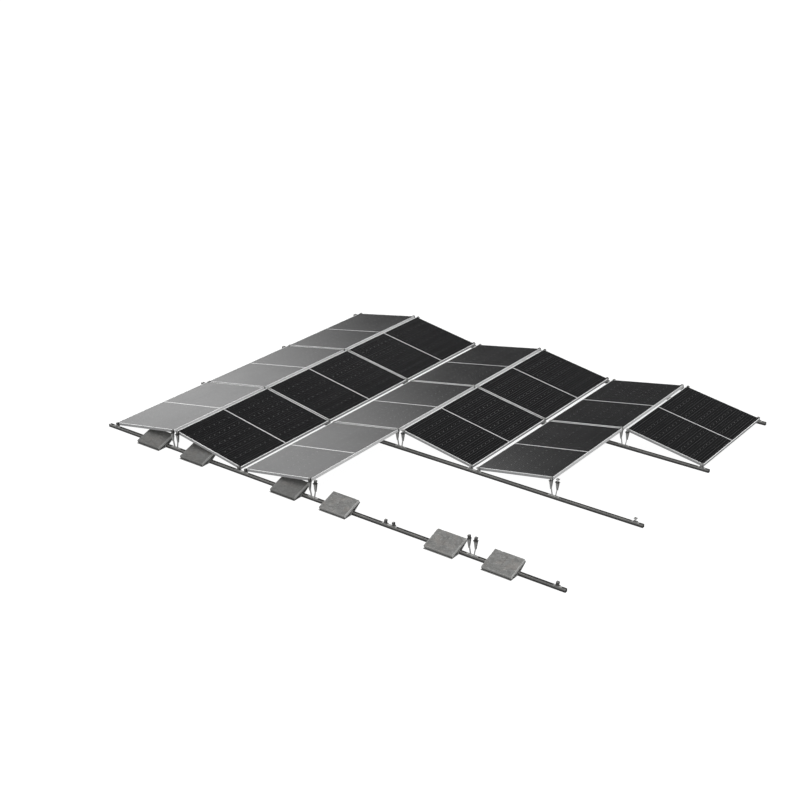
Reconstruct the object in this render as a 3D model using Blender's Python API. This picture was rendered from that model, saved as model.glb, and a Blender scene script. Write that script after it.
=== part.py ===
"""Ballasted flat-roof mount for framed photovoltaic modules, east-west layout.

Four parallel base rails run along X. On them stand low supports in the
valleys and at the two ends, and V-shaped supports under the ridges. Fourteen
framed modules lie on the supports in six sloping rows; the front rows are cut
back in steps, so that the rails, supports and clamps underneath can be seen.
Six concrete slabs lean over the front rail in folded sheet trays.

Metres, +Z up, the roof surface is z = 0 and the origin is the centre of the
footprint. Before the last step everything is laid out in array coordinates:
x = 0 at the lower edge of row A, y = 0 at the front edge of the first modules.
"""

import math

import bmesh
import bpy
from mathutils import Matrix, Vector
from mathutils.geometry import tessellate_polygon

# ---------------------------------------------------------------- dimensions
# Modules: 108 half cells, six columns by eighteen rows
MODULE_LENGTH = 1.722        # along the ridges (Y)
MODULE_WIDTH = 1.134         # up the slope
FRAME_HEIGHT = 0.035
FRAME_LIP = 0.011            # frame seen from above
FRAME_WALL = 0.002
FRAME_FLANGE = 0.028         # inward flange under the module
FRAME_EDGE = 0.0006
GLASS_RECESS = 0.0012        # glass below the top of the frame
LAMINATE = 0.0053            # glass, cells and backsheet together
TILT = math.radians(10.0)

# Array
BAYS = 3
COLUMNS = 3                  # modules along a row
MODULE_GAP = 0.025           # between the short sides, over a rail
RIDGE_GAP = 0.054            # between the upper edges of two rows
VALLEY_GAP = 0.068           # between the lower edges of two rows
LOW_EDGE_TOP = 0.083         # top of the frame above the roof at a lower edge
FIRST_COLUMN = {"a": 1, "b": 1, "c": 1, "d": 2, "e": 2, "f": 3}

# Rails
RAIL_WIDTH = 0.040
RAIL_HEIGHT = 0.040
RAIL_WALL = 0.0025
RAIL_SLOT = 0.014            # open slot along the top
RAIL_WEB_Z = 0.0185          # shelf between the lower chamber and the slot
RAIL_OVERHANG_LEFT = 0.128
RAIL_OVERHANG_RIGHT = 0.086

# Supports
FIT = 0.0003                 # clearance between pieces that rest on each other
BASE_THICKNESS = 0.003
BASE_HALF_WIDTH = 0.014
RIDGE_BASE_HALF = 0.078
LEG_THICKNESS = 0.003
LEG_HALF_WIDTH = 0.012
LEG_FOOT = (0.0225, 0.0428)
LEG_KNEE = (0.0430, 0.1520)
HEAD_INNER = 0.0215
HEAD_OUTER = 0.0705
HEAD_HALF_WIDTH = 0.025
HEAD_THICKNESS = 0.003
GUSSET_THICKNESS = 0.0025
SEAT_INNER = -0.010          # low seat, from the lower edge of the frame
SEAT_OUTER = 0.042
CLAMP_FROM_EDGE = 0.022      # clamp centre, from the edge of the frame
SEAT_HALF_WIDTH = 0.021
CLAMP_LENGTH = 0.036         # along the slope
CLAMP_GRIP = 0.009           # overlap on the frame
CLAMP_PLATE = 0.006
CLAMP_WALL = 0.003
CLAMP_DEPTH = 0.020          # end clamp, beside the frame
BOLT_RADIUS = 0.004
BOLT_HEAD_RADIUS = 0.0066
BOLT_HEAD_HEIGHT = 0.008
BOLT_SIDES = 12

# Ballast
SLAB_LENGTH = 0.400
SLAB_DEPTH = 0.300
SLAB_THICKNESS = 0.045
SLAB_CHAMFER = 0.006
SLAB_LEFT_OF_RIDGE = 0.372
SLAB_RIGHT_OF_RIDGE = 0.420
TRAY_SHEET = 0.002
TRAY_LIP = 0.014
TRAY_RAMP_FOOT = 0.012       # height at which the rear ramp leaves the rail

# ------------------------------------------------------------ derived values
SLOPE_X = MODULE_WIDTH * math.cos(TILT)
BAY_PITCH = 2 * SLOPE_X + RIDGE_GAP + VALLEY_GAP
COLUMN_PITCH = MODULE_LENGTH + MODULE_GAP
RIDGE_X = [bay * BAY_PITCH + SLOPE_X + RIDGE_GAP / 2 for bay in range(BAYS)]
VALLEY_X = [bay * BAY_PITCH - VALLEY_GAP / 2 for bay in range(1, BAYS)]
LEFT_X = 0.0
RIGHT_X = BAYS * BAY_PITCH - VALLEY_GAP
RAIL_X = (LEFT_X - RAIL_OVERHANG_LEFT, RIGHT_X + RAIL_OVERHANG_RIGHT)
RAIL_Y = [column * COLUMN_PITCH - MODULE_GAP / 2 for column in range(COLUMNS + 1)]
HIGH_EDGE_TOP = LOW_EDGE_TOP + MODULE_WIDTH * math.sin(TILT)
SADDLE_HALF = RAIL_WIDTH / 2 + FIT + TRAY_SHEET
SADDLE_TOP = RAIL_HEIGHT + FIT + TRAY_SHEET


def slab_lean():
    """Angle at which a slab centred on the rail touches tray floor and saddle."""
    angle = math.radians(15.0)
    for _ in range(60):
        front = -SLAB_DEPTH / 2 * math.cos(angle)
        rise = SADDLE_TOP + FIT - (TRAY_SHEET + FIT)
        angle = math.atan2(rise, -SADDLE_HALF - front)
    return angle


SLAB_LEAN = slab_lean()


# ------------------------------------------------------------ mesh building
def remove_scene_objects():
    for item in list(bpy.data.objects):
        bpy.data.objects.remove(item, do_unlink=True)


def make_material(name, color, metallic, roughness):
    material = bpy.data.materials.new(name)
    material.use_nodes = True
    shader = material.node_tree.nodes["Principled BSDF"]
    shader.inputs["Base Color"].default_value = (*color, 1.0)
    shader.inputs["Metallic"].default_value = metallic
    shader.inputs["Roughness"].default_value = roughness
    material.diffuse_color = (*color, 1.0)
    return material


def area_of(points):
    return 0.5 * sum(
        a[0] * b[1] - b[0] * a[1] for a, b in zip(points, points[1:] + points[:1])
    )


def prism(outline, low, high, place, hole=None):
    """Outline (and an optional hole) extruded from low to high.

    place(a, b, t) gives the point of outline coordinates a, b at depth t.
    """
    if area_of(outline) < 0:
        outline = outline[::-1]
    loops = [outline]
    if hole:
        loops.append(hole if area_of(hole) < 0 else hole[::-1])
    flat = [point for loop in loops for point in loop]
    mesh = bmesh.new()
    rings = [[mesh.verts.new(place(a, b, t)) for a, b in flat] for t in (low, high)]
    start = 0
    for loop in loops:
        count = len(loop)
        for i in range(count):
            j = (i + 1) % count
            mesh.faces.new(
                (
                    rings[0][start + i],
                    rings[0][start + j],
                    rings[1][start + j],
                    rings[1][start + i],
                )
            )
        start += count
    if hole:
        caps = tessellate_polygon([[Vector((a, b, 0)) for a, b in loop] for loop in loops])
    else:
        caps = [tuple(range(len(outline)))]
    for cap in caps:
        mesh.faces.new([rings[0][i] for i in reversed(cap)])
        mesh.faces.new([rings[1][i] for i in cap])
    bmesh.ops.recalc_face_normals(mesh, faces=mesh.faces)
    return mesh


def along_y(outline, low, high, hole=None):
    return prism(outline, low, high, lambda a, b, t: (a, t, b), hole)


def along_x(outline, low, high, hole=None):
    return prism(outline, low, high, lambda a, b, t: (t, a, b), hole)


def along_z(outline, low, high):
    return prism(outline, low, high, lambda a, b, t: (a, b, t))


def block(x, y, z):
    return along_z([(x[0], y[0]), (x[1], y[0]), (x[1], y[1]), (x[0], y[1])], *z)


def round_bar(x, y, low, high, radius, sides=BOLT_SIDES):
    step = 2 * math.pi / sides
    ring = [
        (x + radius * math.cos((i + 0.5) * step), y + radius * math.sin((i + 0.5) * step))
        for i in range(sides)
    ]
    return along_z(ring, low, high)


def sheet_outline(path, thickness):
    """Closed outline of a folded sheet: the path, and its offset to the left."""
    offset = []
    for i, point in enumerate(path):
        here = Vector(point)
        before = (here - Vector(path[i - 1])).normalized() if i else None
        after = (Vector(path[i + 1]) - here).normalized() if i + 1 < len(path) else None
        if before is None or after is None:
            run = after if before is None else before
            offset.append(here + Vector((-run.y, run.x)) * thickness)
            continue
        left = Vector((-before.y - after.y, before.x + after.x)).normalized()
        reach = thickness / left.dot(Vector((-before.y, before.x)))
        offset.append(here + left * reach)
    return [tuple(point) for point in path] + [(p.x, p.y) for p in reversed(offset)]


def moved(mesh, matrix):
    bmesh.ops.transform(mesh, matrix=matrix, verts=mesh.verts)
    if matrix.determinant() < 0:
        bmesh.ops.reverse_faces(mesh, faces=mesh.faces)
    return mesh


def mirrored_x(mesh):
    return moved(mesh, Matrix.Scale(-1, 4, (1, 0, 0)))


def mirrored_y(mesh):
    return moved(mesh, Matrix.Scale(-1, 4, (0, 1, 0)))


def finished(mesh, name):
    """Mesh data with smooth shading across edges that are nearly flat."""
    data = bpy.data.meshes.new(name)
    mesh.to_mesh(data)
    mesh.free()
    data.polygons.foreach_set("use_smooth", [True] * len(data.polygons))
    data.set_sharp_from_angle(angle=math.radians(32))
    return data


def united(pieces, name):
    """One closed body from overlapping closed pieces."""
    helpers = []
    for index, piece in enumerate(pieces):
        data = bpy.data.meshes.new(f"{name}_piece_{index}")
        piece.to_mesh(data)
        piece.free()
        helper = bpy.data.objects.new(f"{name}_piece_{index}", data)
        bpy.context.scene.collection.objects.link(helper)
        helpers.append(helper)
    base = helpers[0]
    for helper in helpers[1:]:
        join = base.modifiers.new("join", "BOOLEAN")
        join.operation = "UNION"
        join.solver = "EXACT"
        join.object = helper
    bpy.context.view_layer.update()
    graph = bpy.context.evaluated_depsgraph_get()
    whole = bmesh.new()
    whole.from_mesh(base.evaluated_get(graph).to_mesh())
    bmesh.ops.remove_doubles(whole, verts=whole.verts, dist=1e-6)
    bmesh.ops.dissolve_limit(
        whole, angle_limit=math.radians(0.05), verts=whole.verts, edges=whole.edges
    )
    bmesh.ops.triangulate(whole, faces=whole.faces)
    base.evaluated_get(graph).to_mesh_clear()
    for helper in helpers:
        data = helper.data
        bpy.data.objects.remove(helper, do_unlink=True)
        bpy.data.meshes.remove(data)
    return finished(whole, name)


def placed(name, data, material, location, rotation=(0.0, 0.0, 0.0)):
    item = bpy.data.objects.new(name, data)
    if not data.materials:
        data.materials.append(material)
    bpy.context.scene.collection.objects.link(item)
    item.location = location
    item.rotation_euler = rotation
    item.parent = ARRAY
    return item


# ------------------------------------------------------------------- pieces
def module_mesh():
    """Frame, laminate and junction boxes, bonded into one sealed unit.

    The origin is the centre of the underside. The frame section is swept
    round the four mitred corners and closed by the glass and the backsheet.
    """
    glass = FRAME_HEIGHT - GLASS_RECESS
    backsheet = glass - LAMINATE
    section = [
        (FRAME_LIP, glass),
        (FRAME_LIP, FRAME_HEIGHT),
        (FRAME_EDGE, FRAME_HEIGHT),
        (0.0, FRAME_HEIGHT - FRAME_EDGE),
        (0.0, 0.0),
        (FRAME_FLANGE, 0.0),
        (FRAME_FLANGE, FRAME_WALL),
        (FRAME_WALL, FRAME_WALL),
        (FRAME_WALL, backsheet),
    ]
    mesh = bmesh.new()
    rings = []
    for inset, z in section:
        x = MODULE_WIDTH / 2 - inset
        y = MODULE_LENGTH / 2 - inset
        rings.append(
            [mesh.verts.new((sx * x, sy * y, z)) for sx, sy in ((-1, -1), (1, -1), (1, 1), (-1, 1))]
        )
    for low, high in zip(rings, rings[1:]):
        for i in range(4):
            j = (i + 1) % 4
            mesh.faces.new((low[i], low[j], high[j], high[i]))
    mesh.faces.new(rings[0])
    mesh.faces.new(rings[-1])
    bmesh.ops.recalc_face_normals(mesh, faces=mesh.faces)
    boxes = []
    for share in (-0.34, 0.0, 0.34):
        x = share * MODULE_WIDTH
        low = backsheet - 0.015
        boxes.append(
            along_y(
                [
                    (x - 0.036, backsheet + 0.001),
                    (x - 0.036, low + 0.004),
                    (x - 0.031, low),
                    (x + 0.031, low),
                    (x + 0.036, low + 0.004),
                    (x + 0.036, backsheet + 0.001),
                ],
                -0.026,
                0.026,
            )
        )
    return united([mesh] + boxes, "module")


def rail_mesh():
    half, wall = RAIL_WIDTH / 2, RAIL_WALL
    slot, inner, top = RAIL_SLOT / 2, RAIL_WIDTH / 2 - RAIL_WALL, RAIL_HEIGHT
    shelf = RAIL_WEB_Z + wall
    outline = [
        (-half, 0.0),
        (half, 0.0),
        (half, top),
        (slot, top),
        (slot, top - wall),
        (inner, top - wall),
        (inner, shelf),
        (-inner, shelf),
        (-inner, top - wall),
        (-slot, top - wall),
        (-slot, top),
        (-half, top),
    ]
    chamber = [(-inner, wall), (inner, wall), (inner, RAIL_WEB_Z), (-inner, RAIL_WEB_Z)]
    length = RAIL_X[1] - RAIL_X[0]
    return finished(along_x(outline, -length / 2, length / 2, chamber), "rail")


def high_frame():
    """From module coordinates at the upper edge to support coordinates.

    Origin at the upper outer corner of the underside, x down the slope, for
    the row on the +X side of a ridge support.
    """
    corner = Vector(
        (
            RIDGE_GAP / 2 - FRAME_HEIGHT * math.sin(TILT),
            0.0,
            HIGH_EDGE_TOP - FRAME_HEIGHT * math.cos(TILT),
        )
    )
    return Matrix.Translation(corner) @ Matrix.Rotation(TILT, 4, "Y")


def low_frame():
    """As high_frame, at the lower edge of a row that rises towards +X.

    Origin at the lower outer corner of the underside, x up the slope; the
    outer top edge of the frame is at x = 0 of the support coordinates.
    """
    corner = Vector(
        (FRAME_HEIGHT * math.sin(TILT), 0.0, LOW_EDGE_TOP - FRAME_HEIGHT * math.cos(TILT))
    )
    return Matrix.Translation(corner) @ Matrix.Rotation(-TILT, 4, "Y")


def clamp_pieces(kind, centre, seat_top):
    """Clamp and bolt in module coordinates, its length centred at x = centre.

    "mid" grips two modules from the gap between them; "front" and "back" are
    end clamps on the first and the last rail.
    """
    x = (centre - CLAMP_LENGTH / 2, centre + CLAMP_LENGTH / 2)
    low = seat_top - 0.0015
    if kind == "mid":
        under = FRAME_HEIGHT + FIT
        reach = MODULE_GAP / 2 + CLAMP_GRIP
        top = under + CLAMP_PLATE
        return [
            block(x, (-reach, reach), (under, top)),
            round_bar(centre, 0.0, low, top + 0.001, BOLT_RADIUS),
            round_bar(centre, 0.0, top - 0.001, top + BOLT_HEAD_HEIGHT, BOLT_HEAD_RADIUS, 6),
        ]
    near = MODULE_GAP / 2 - 0.0006
    far = near - CLAMP_DEPTH
    grip = MODULE_GAP / 2 + CLAMP_GRIP
    foot = seat_top - 0.0008
    under = FRAME_HEIGHT + FIT
    top = under + CLAMP_WALL
    hat = [
        (grip, top),
        (grip, under),
        (near, under),
        (near, foot),
        (near - CLAMP_WALL, foot),
        (near - CLAMP_WALL, under),
        (far + CLAMP_WALL, under),
        (far + CLAMP_WALL, foot),
        (far, foot),
        (far, top),
    ]
    bolt_y = (near + far) / 2
    pieces = [
        along_x(hat, *x),
        round_bar(centre, bolt_y, low, top + 0.001, BOLT_RADIUS),
        round_bar(centre, bolt_y, top - 0.001, top + BOLT_HEAD_HEIGHT, BOLT_HEAD_RADIUS, 6),
    ]
    if kind == "back":
        pieces = [mirrored_y(piece) for piece in pieces]
    return pieces


def ridge_support_mesh(kind):
    """Base on the rail, two legs in a V, a tilted head and a clamp on each."""
    frame = high_frame()
    seat = -FIT
    high = HEAD_INNER, HEAD_OUTER
    local = [(u - frame.translation.x) / math.cos(TILT) for u in high]
    centre = sum(local) / 2
    half = []
    half.append(block(local, (-HEAD_HALF_WIDTH, HEAD_HALF_WIDTH), (seat - HEAD_THICKNESS, seat)))
    half += clamp_pieces(kind, CLAMP_FROM_EDGE, seat)
    half = [moved(piece, frame) for piece in half]
    head = frame @ Vector((centre, 0.0, seat - HEAD_THICKNESS / 2))
    strip = sheet_outline(
        [(LEG_FOOT[0] + 0.024, LEG_FOOT[1]), LEG_FOOT, LEG_KNEE, (head.x - 0.0015, head.z)],
        -LEG_THICKNESS,
    )
    half.append(along_y(strip, -LEG_HALF_WIDTH, LEG_HALF_WIDTH))
    ends = [frame @ Vector((x, 0.0, seat - HEAD_THICKNESS / 2)) for x in local]
    gusset = [
        (ends[0].x + 0.003, ends[0].z),
        (ends[0].x + 0.003, ends[0].z - 0.014),
        (LEG_KNEE[0] - 0.003, LEG_KNEE[1] - 0.030),
        (LEG_KNEE[0] + 0.006, LEG_KNEE[1] - 0.030),
        (ends[1].x - 0.003, ends[1].z - 0.014),
        (ends[1].x - 0.003, ends[1].z),
    ]
    outer = LEG_HALF_WIDTH + 0.0004
    for low, top in ((-outer, -outer + GUSSET_THICKNESS), (outer - GUSSET_THICKNESS, outer)):
        half.append(along_y(gusset, low, top))
    other = []
    for piece in half:
        copy = piece.copy()
        other.append(mirrored_x(copy))
    base_low = RAIL_HEIGHT + FIT
    base = block(
        (-RIDGE_BASE_HALF, RIDGE_BASE_HALF),
        (-BASE_HALF_WIDTH, BASE_HALF_WIDTH),
        (base_low, base_low + BASE_THICKNESS),
    )
    fixings = [
        round_bar(sign * 0.060, 0.0, base_low + 0.001, base_low + BASE_THICKNESS + 0.005, BOLT_HEAD_RADIUS, 6)
        for sign in (-1, 1)
    ]
    return united([base] + half + other + fixings, f"ridge_support_{kind}")


def low_seat_pieces(kind):
    """Wedge seat and clamp for a row that rises towards +X from x = 0."""
    frame = low_frame()
    seat = -FIT
    inner = frame @ Vector((SEAT_INNER, 0.0, seat))
    outer = frame @ Vector((SEAT_OUTER, 0.0, seat))
    base_low = RAIL_HEIGHT + FIT
    wedge = [(inner.x, base_low), (outer.x, base_low), (outer.x, outer.z), (inner.x, inner.z)]
    pieces = [along_y(wedge, -SEAT_HALF_WIDTH, SEAT_HALF_WIDTH)]
    pieces += [moved(piece, frame) for piece in clamp_pieces(kind, CLAMP_FROM_EDGE, seat)]
    return pieces


def low_base(x):
    base_low = RAIL_HEIGHT + FIT
    return block(x, (-BASE_HALF_WIDTH, BASE_HALF_WIDTH), (base_low, base_low + BASE_THICKNESS))


def fixing(x):
    base_low = RAIL_HEIGHT + FIT
    return round_bar(x, 0.0, base_low + 0.001, base_low + BASE_THICKNESS + 0.005, BOLT_HEAD_RADIUS, 6)


def end_support_mesh(kind, side):
    pieces = [low_base((-0.030, 0.072))] + low_seat_pieces(kind) + [fixing(-0.018)]
    if side == "right":
        pieces = [mirrored_x(piece) for piece in pieces]
    return united(pieces, f"end_support_{side}_{kind}")


def valley_support_mesh(kind):
    half = VALLEY_GAP / 2
    right = [moved(piece, Matrix.Translation((half, 0, 0))) for piece in low_seat_pieces(kind)]
    left = [mirrored_x(piece.copy()) for piece in right]
    base = low_base((-half - 0.072, half + 0.072))
    return united([base] + right + left + [fixing(0.0)], f"valley_support_{kind}")


def slab_mesh():
    """Concrete slab, origin at the centre of the underside, edges chamfered."""
    mesh = bmesh.new()
    small = SLAB_CHAMFER / 2
    levels = [
        (small, 0.0),
        (0.0, small),
        (0.0, SLAB_THICKNESS - SLAB_CHAMFER),
        (SLAB_CHAMFER, SLAB_THICKNESS),
    ]
    rings = []
    for inset, z in levels:
        x, y = SLAB_LENGTH / 2 - inset, SLAB_DEPTH / 2 - inset
        cut = SLAB_CHAMFER
        ring = [(-x + cut, -y), (x - cut, -y), (x, -y + cut), (x, y - cut)]
        ring += [(x - cut, y), (-x + cut, y), (-x, y - cut), (-x, -y + cut)]
        rings.append([mesh.verts.new((a, b, z)) for a, b in ring])
    for low, high in zip(rings, rings[1:]):
        for i in range(8):
            j = (i + 1) % 8
            mesh.faces.new((low[i], low[j], high[j], high[i]))
    mesh.faces.new(list(reversed(rings[0])))
    mesh.faces.new(rings[-1])
    bmesh.ops.recalc_face_normals(mesh, faces=mesh.faces)
    return finished(mesh, "ballast_slab")


def tray_mesh():
    """Folded sheet: floor in front, saddle over the rail, ramp behind it.

    Section in y and z from the rail's centre line, 400 mm long.
    """
    t = TRAY_SHEET
    lean = Vector((math.cos(SLAB_LEAN), math.sin(SLAB_LEAN)))
    up = Vector((-math.sin(SLAB_LEAN), math.cos(SLAB_LEAN)))
    front_y = -SLAB_DEPTH / 2 * math.cos(SLAB_LEAN)
    corner = Vector((front_y, t + FIT)) + lean * SLAB_DEPTH
    lip_foot = corner + lean * (2 * FIT) - up * (2 * FIT)
    lip_top = lip_foot + up * TRAY_LIP
    front = front_y - SLAB_THICKNESS * math.sin(SLAB_LEAN) - 2 * FIT
    path = [
        (front, TRAY_LIP),
        (front, t),
        (-SADDLE_HALF, t),
        (-SADDLE_HALF, SADDLE_TOP),
        (SADDLE_HALF, SADDLE_TOP),
        (SADDLE_HALF, TRAY_RAMP_FOOT + t),
        (lip_foot.x, lip_foot.y),
        (lip_top.x, lip_top.y),
    ]
    outline = sheet_outline(path, -t)
    return finished(along_x(outline, -SLAB_LENGTH / 2, SLAB_LENGTH / 2), "ballast_tray")


# ----------------------------------------------------------------- assembly
remove_scene_objects()

RAIL_METAL = make_material("rail_aluminium", (0.16, 0.16, 0.155), 0.85, 0.48)
SUPPORT_METAL = make_material("support_aluminium", (0.50, 0.50, 0.49), 0.90, 0.40)
MODULE_FACE = make_material("module_glass", (0.020, 0.021, 0.023), 0.0, 0.16)
CONCRETE = make_material("slab_concrete", (0.24, 0.23, 0.22), 0.0, 0.92)
TRAY_STEEL = make_material("tray_steel", (0.30, 0.30, 0.29), 0.90, 0.50)

ARRAY = bpy.data.objects.new("array", None)
bpy.context.scene.collection.objects.link(ARRAY)

rail_data = rail_mesh()
for number, rail_y in enumerate(RAIL_Y, 1):
    placed(f"rail_{number}", rail_data, RAIL_METAL, (sum(RAIL_X) / 2, rail_y, 0.0))

KINDS = ["front"] + ["mid"] * (COLUMNS - 1) + ["back"]
ridge_data = {kind: ridge_support_mesh(kind) for kind in set(KINDS)}
valley_data = {kind: valley_support_mesh(kind) for kind in set(KINDS)}
end_data = {
    (kind, side): end_support_mesh(kind, side)
    for kind in set(KINDS)
    for side in ("left", "right")
}
for rail, (kind, rail_y) in enumerate(zip(KINDS, RAIL_Y), 1):
    for ridge, x in enumerate(RIDGE_X, 1):
        placed(f"ridge_support_{rail}_{ridge}", ridge_data[kind], SUPPORT_METAL, (x, rail_y, 0.0))
    for valley, x in enumerate(VALLEY_X, 1):
        placed(f"valley_support_{rail}_{valley}", valley_data[kind], SUPPORT_METAL, (x, rail_y, 0.0))
    for side, x in (("left", LEFT_X), ("right", RIGHT_X)):
        placed(f"end_support_{rail}_{side}", end_data[kind, side], SUPPORT_METAL, (x, rail_y, 0.0))

module_data = module_mesh()
for row, first in FIRST_COLUMN.items():
    order = "abcdef".index(row)
    rising = order % 2 == 0
    bay = order // 2
    low_x = bay * BAY_PITCH if rising else bay * BAY_PITCH + 2 * SLOPE_X + RIDGE_GAP
    sign = 1 if rising else -1
    normal = Vector((-sign * math.sin(TILT), 0.0, math.cos(TILT)))
    middle = Vector(
        (low_x + sign * SLOPE_X / 2, 0.0, (LOW_EDGE_TOP + HIGH_EDGE_TOP) / 2)
    )
    under = middle - normal * FRAME_HEIGHT
    for column in range(first, COLUMNS + 1):
        y = (column - 1) * COLUMN_PITCH + MODULE_LENGTH / 2
        placed(
            f"module_{row}{column}",
            module_data,
            MODULE_FACE,
            (under.x, y, under.z),
            (0.0, -sign * TILT, 0.0),
        )

slab_data = slab_mesh()
tray_data = tray_mesh()
half_up = Vector((0.0, math.cos(SLAB_LEAN), math.sin(SLAB_LEAN))) * (SLAB_DEPTH / 2)
slab_y = RAIL_Y[0] - SLAB_DEPTH / 2 * math.cos(SLAB_LEAN) + half_up.y
slab_z = TRAY_SHEET + FIT + half_up.z
number = 0
for x in RIDGE_X:
    for slab_x in (x - SLAB_LEFT_OF_RIDGE, x + SLAB_RIGHT_OF_RIDGE):
        number += 1
        placed(
            f"ballast_slab_{number}",
            slab_data,
            CONCRETE,
            (slab_x, slab_y, slab_z),
            (SLAB_LEAN, 0.0, 0.0),
        )
        placed(f"ballast_tray_{number}", tray_data, TRAY_STEEL, (slab_x, RAIL_Y[0], 0.0))

# The whole array moves so that the centre of its footprint is the origin.
bpy.context.view_layer.update()
corners = [
    item.matrix_world @ Vector(corner)
    for item in ARRAY.children
    for corner in item.bound_box
]
ARRAY.location = (
    -(min(c.x for c in corners) + max(c.x for c in corners)) / 2,
    -(min(c.y for c in corners) + max(c.y for c in corners)) / 2,
    0.0,
)
bpy.context.view_layer.update()
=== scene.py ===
import math

import bmesh
import bpy
from mathutils import Matrix, Vector, noise
from mathutils.geometry import tessellate_polygon


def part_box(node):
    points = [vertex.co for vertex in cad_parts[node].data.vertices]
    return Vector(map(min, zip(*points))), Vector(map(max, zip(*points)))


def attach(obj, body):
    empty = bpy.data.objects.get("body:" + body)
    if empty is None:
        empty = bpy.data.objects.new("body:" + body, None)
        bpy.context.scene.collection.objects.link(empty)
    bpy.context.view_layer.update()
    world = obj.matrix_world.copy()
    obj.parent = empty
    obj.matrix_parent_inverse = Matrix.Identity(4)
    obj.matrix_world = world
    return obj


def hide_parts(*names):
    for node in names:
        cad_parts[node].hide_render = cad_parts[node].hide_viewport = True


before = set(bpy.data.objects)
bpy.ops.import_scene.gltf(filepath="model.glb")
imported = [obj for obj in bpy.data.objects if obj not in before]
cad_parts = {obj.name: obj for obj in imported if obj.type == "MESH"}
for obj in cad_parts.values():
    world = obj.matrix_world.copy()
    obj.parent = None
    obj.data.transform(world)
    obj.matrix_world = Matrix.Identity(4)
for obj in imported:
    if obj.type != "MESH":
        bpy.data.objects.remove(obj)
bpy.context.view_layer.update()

# ---------------------------------------------------------------- dimensions
# Metres, as in the CAD model
MODULE_LENGTH = 1.722
MODULE_WIDTH = 1.134
FRAME_HEIGHT = 0.035
FRAME_LIP = 0.011
FRAME_FLANGE = 0.028
MITRE_GAP = 0.00012
GLASS_TOP = 0.0338
GLASS_BOTTOM = 0.0285
TILT = math.radians(10.0)

BAYS = 3
COLUMNS = 3
MODULE_GAP = 0.025
RIDGE_GAP = 0.054
VALLEY_GAP = 0.068
LOW_EDGE_TOP = 0.083
FIRST_COLUMN = {"a": 1, "b": 1, "c": 1, "d": 2, "e": 2, "f": 3}

RAIL_WIDTH = 0.040
RAIL_HEIGHT = 0.040
RAIL_WALL = 0.0025
RAIL_SLOT = 0.014
RAIL_WEB_Z = 0.0185
RAIL_OVERHANG_LEFT = 0.128
RAIL_OVERHANG_RIGHT = 0.086

FIT = 0.0003
BASE_THICKNESS = 0.003
BASE_HALF_WIDTH = 0.014
RIDGE_BASE_HALF = 0.078
LEG_THICKNESS = 0.003
LEG_HALF_WIDTH = 0.012
LEG_FOOT = (0.0225, 0.0428)
LEG_KNEE = (0.0430, 0.1520)
HEAD_INNER = 0.0215
HEAD_OUTER = 0.0705
HEAD_HALF_WIDTH = 0.025
HEAD_THICKNESS = 0.003
GUSSET_THICKNESS = 0.0025
SEAT_INNER = -0.010
SEAT_OUTER = 0.042
CLAMP_FROM_EDGE = 0.022
SEAT_HALF_WIDTH = 0.021
CLAMP_LENGTH = 0.036
CLAMP_GRIP = 0.009
CLAMP_PLATE = 0.006
CLAMP_WALL = 0.003
CLAMP_DEPTH = 0.020

SLAB_LENGTH = 0.400
SLAB_DEPTH = 0.300
SLAB_THICKNESS = 0.045
SLAB_LEFT_OF_RIDGE = 0.372
SLAB_RIGHT_OF_RIDGE = 0.420
TRAY_SHEET = 0.002
TRAY_LIP = 0.014
TRAY_RAMP_FOOT = 0.012

SLOPE_X = MODULE_WIDTH * math.cos(TILT)
BAY_PITCH = 2 * SLOPE_X + RIDGE_GAP + VALLEY_GAP
COLUMN_PITCH = MODULE_LENGTH + MODULE_GAP
RIDGE_X = [bay * BAY_PITCH + SLOPE_X + RIDGE_GAP / 2 for bay in range(BAYS)]
VALLEY_X = [bay * BAY_PITCH - VALLEY_GAP / 2 for bay in range(1, BAYS)]
RIGHT_X = BAYS * BAY_PITCH - VALLEY_GAP
RAIL_X = (-RAIL_OVERHANG_LEFT, RIGHT_X + RAIL_OVERHANG_RIGHT)
RAIL_Y = [column * COLUMN_PITCH - MODULE_GAP / 2 for column in range(COLUMNS + 1)]
HIGH_EDGE_TOP = LOW_EDGE_TOP + MODULE_WIDTH * math.sin(TILT)
SADDLE_HALF = RAIL_WIDTH / 2 + FIT + TRAY_SHEET
SADDLE_TOP = RAIL_HEIGHT + FIT + TRAY_SHEET

rail_low, rail_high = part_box("rail_1")
OFFSET = Vector(
    (
        (rail_low.x + rail_high.x) / 2 - sum(RAIL_X) / 2,
        (rail_low.y + rail_high.y) / 2 - RAIL_Y[0],
        0.0,
    )
)

SLAB_LEAN = math.radians(15.0)
for _ in range(60):
    SLAB_LEAN = math.atan2(
        SADDLE_TOP - TRAY_SHEET, SLAB_DEPTH / 2 * math.cos(SLAB_LEAN) - SADDLE_HALF
    )


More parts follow.
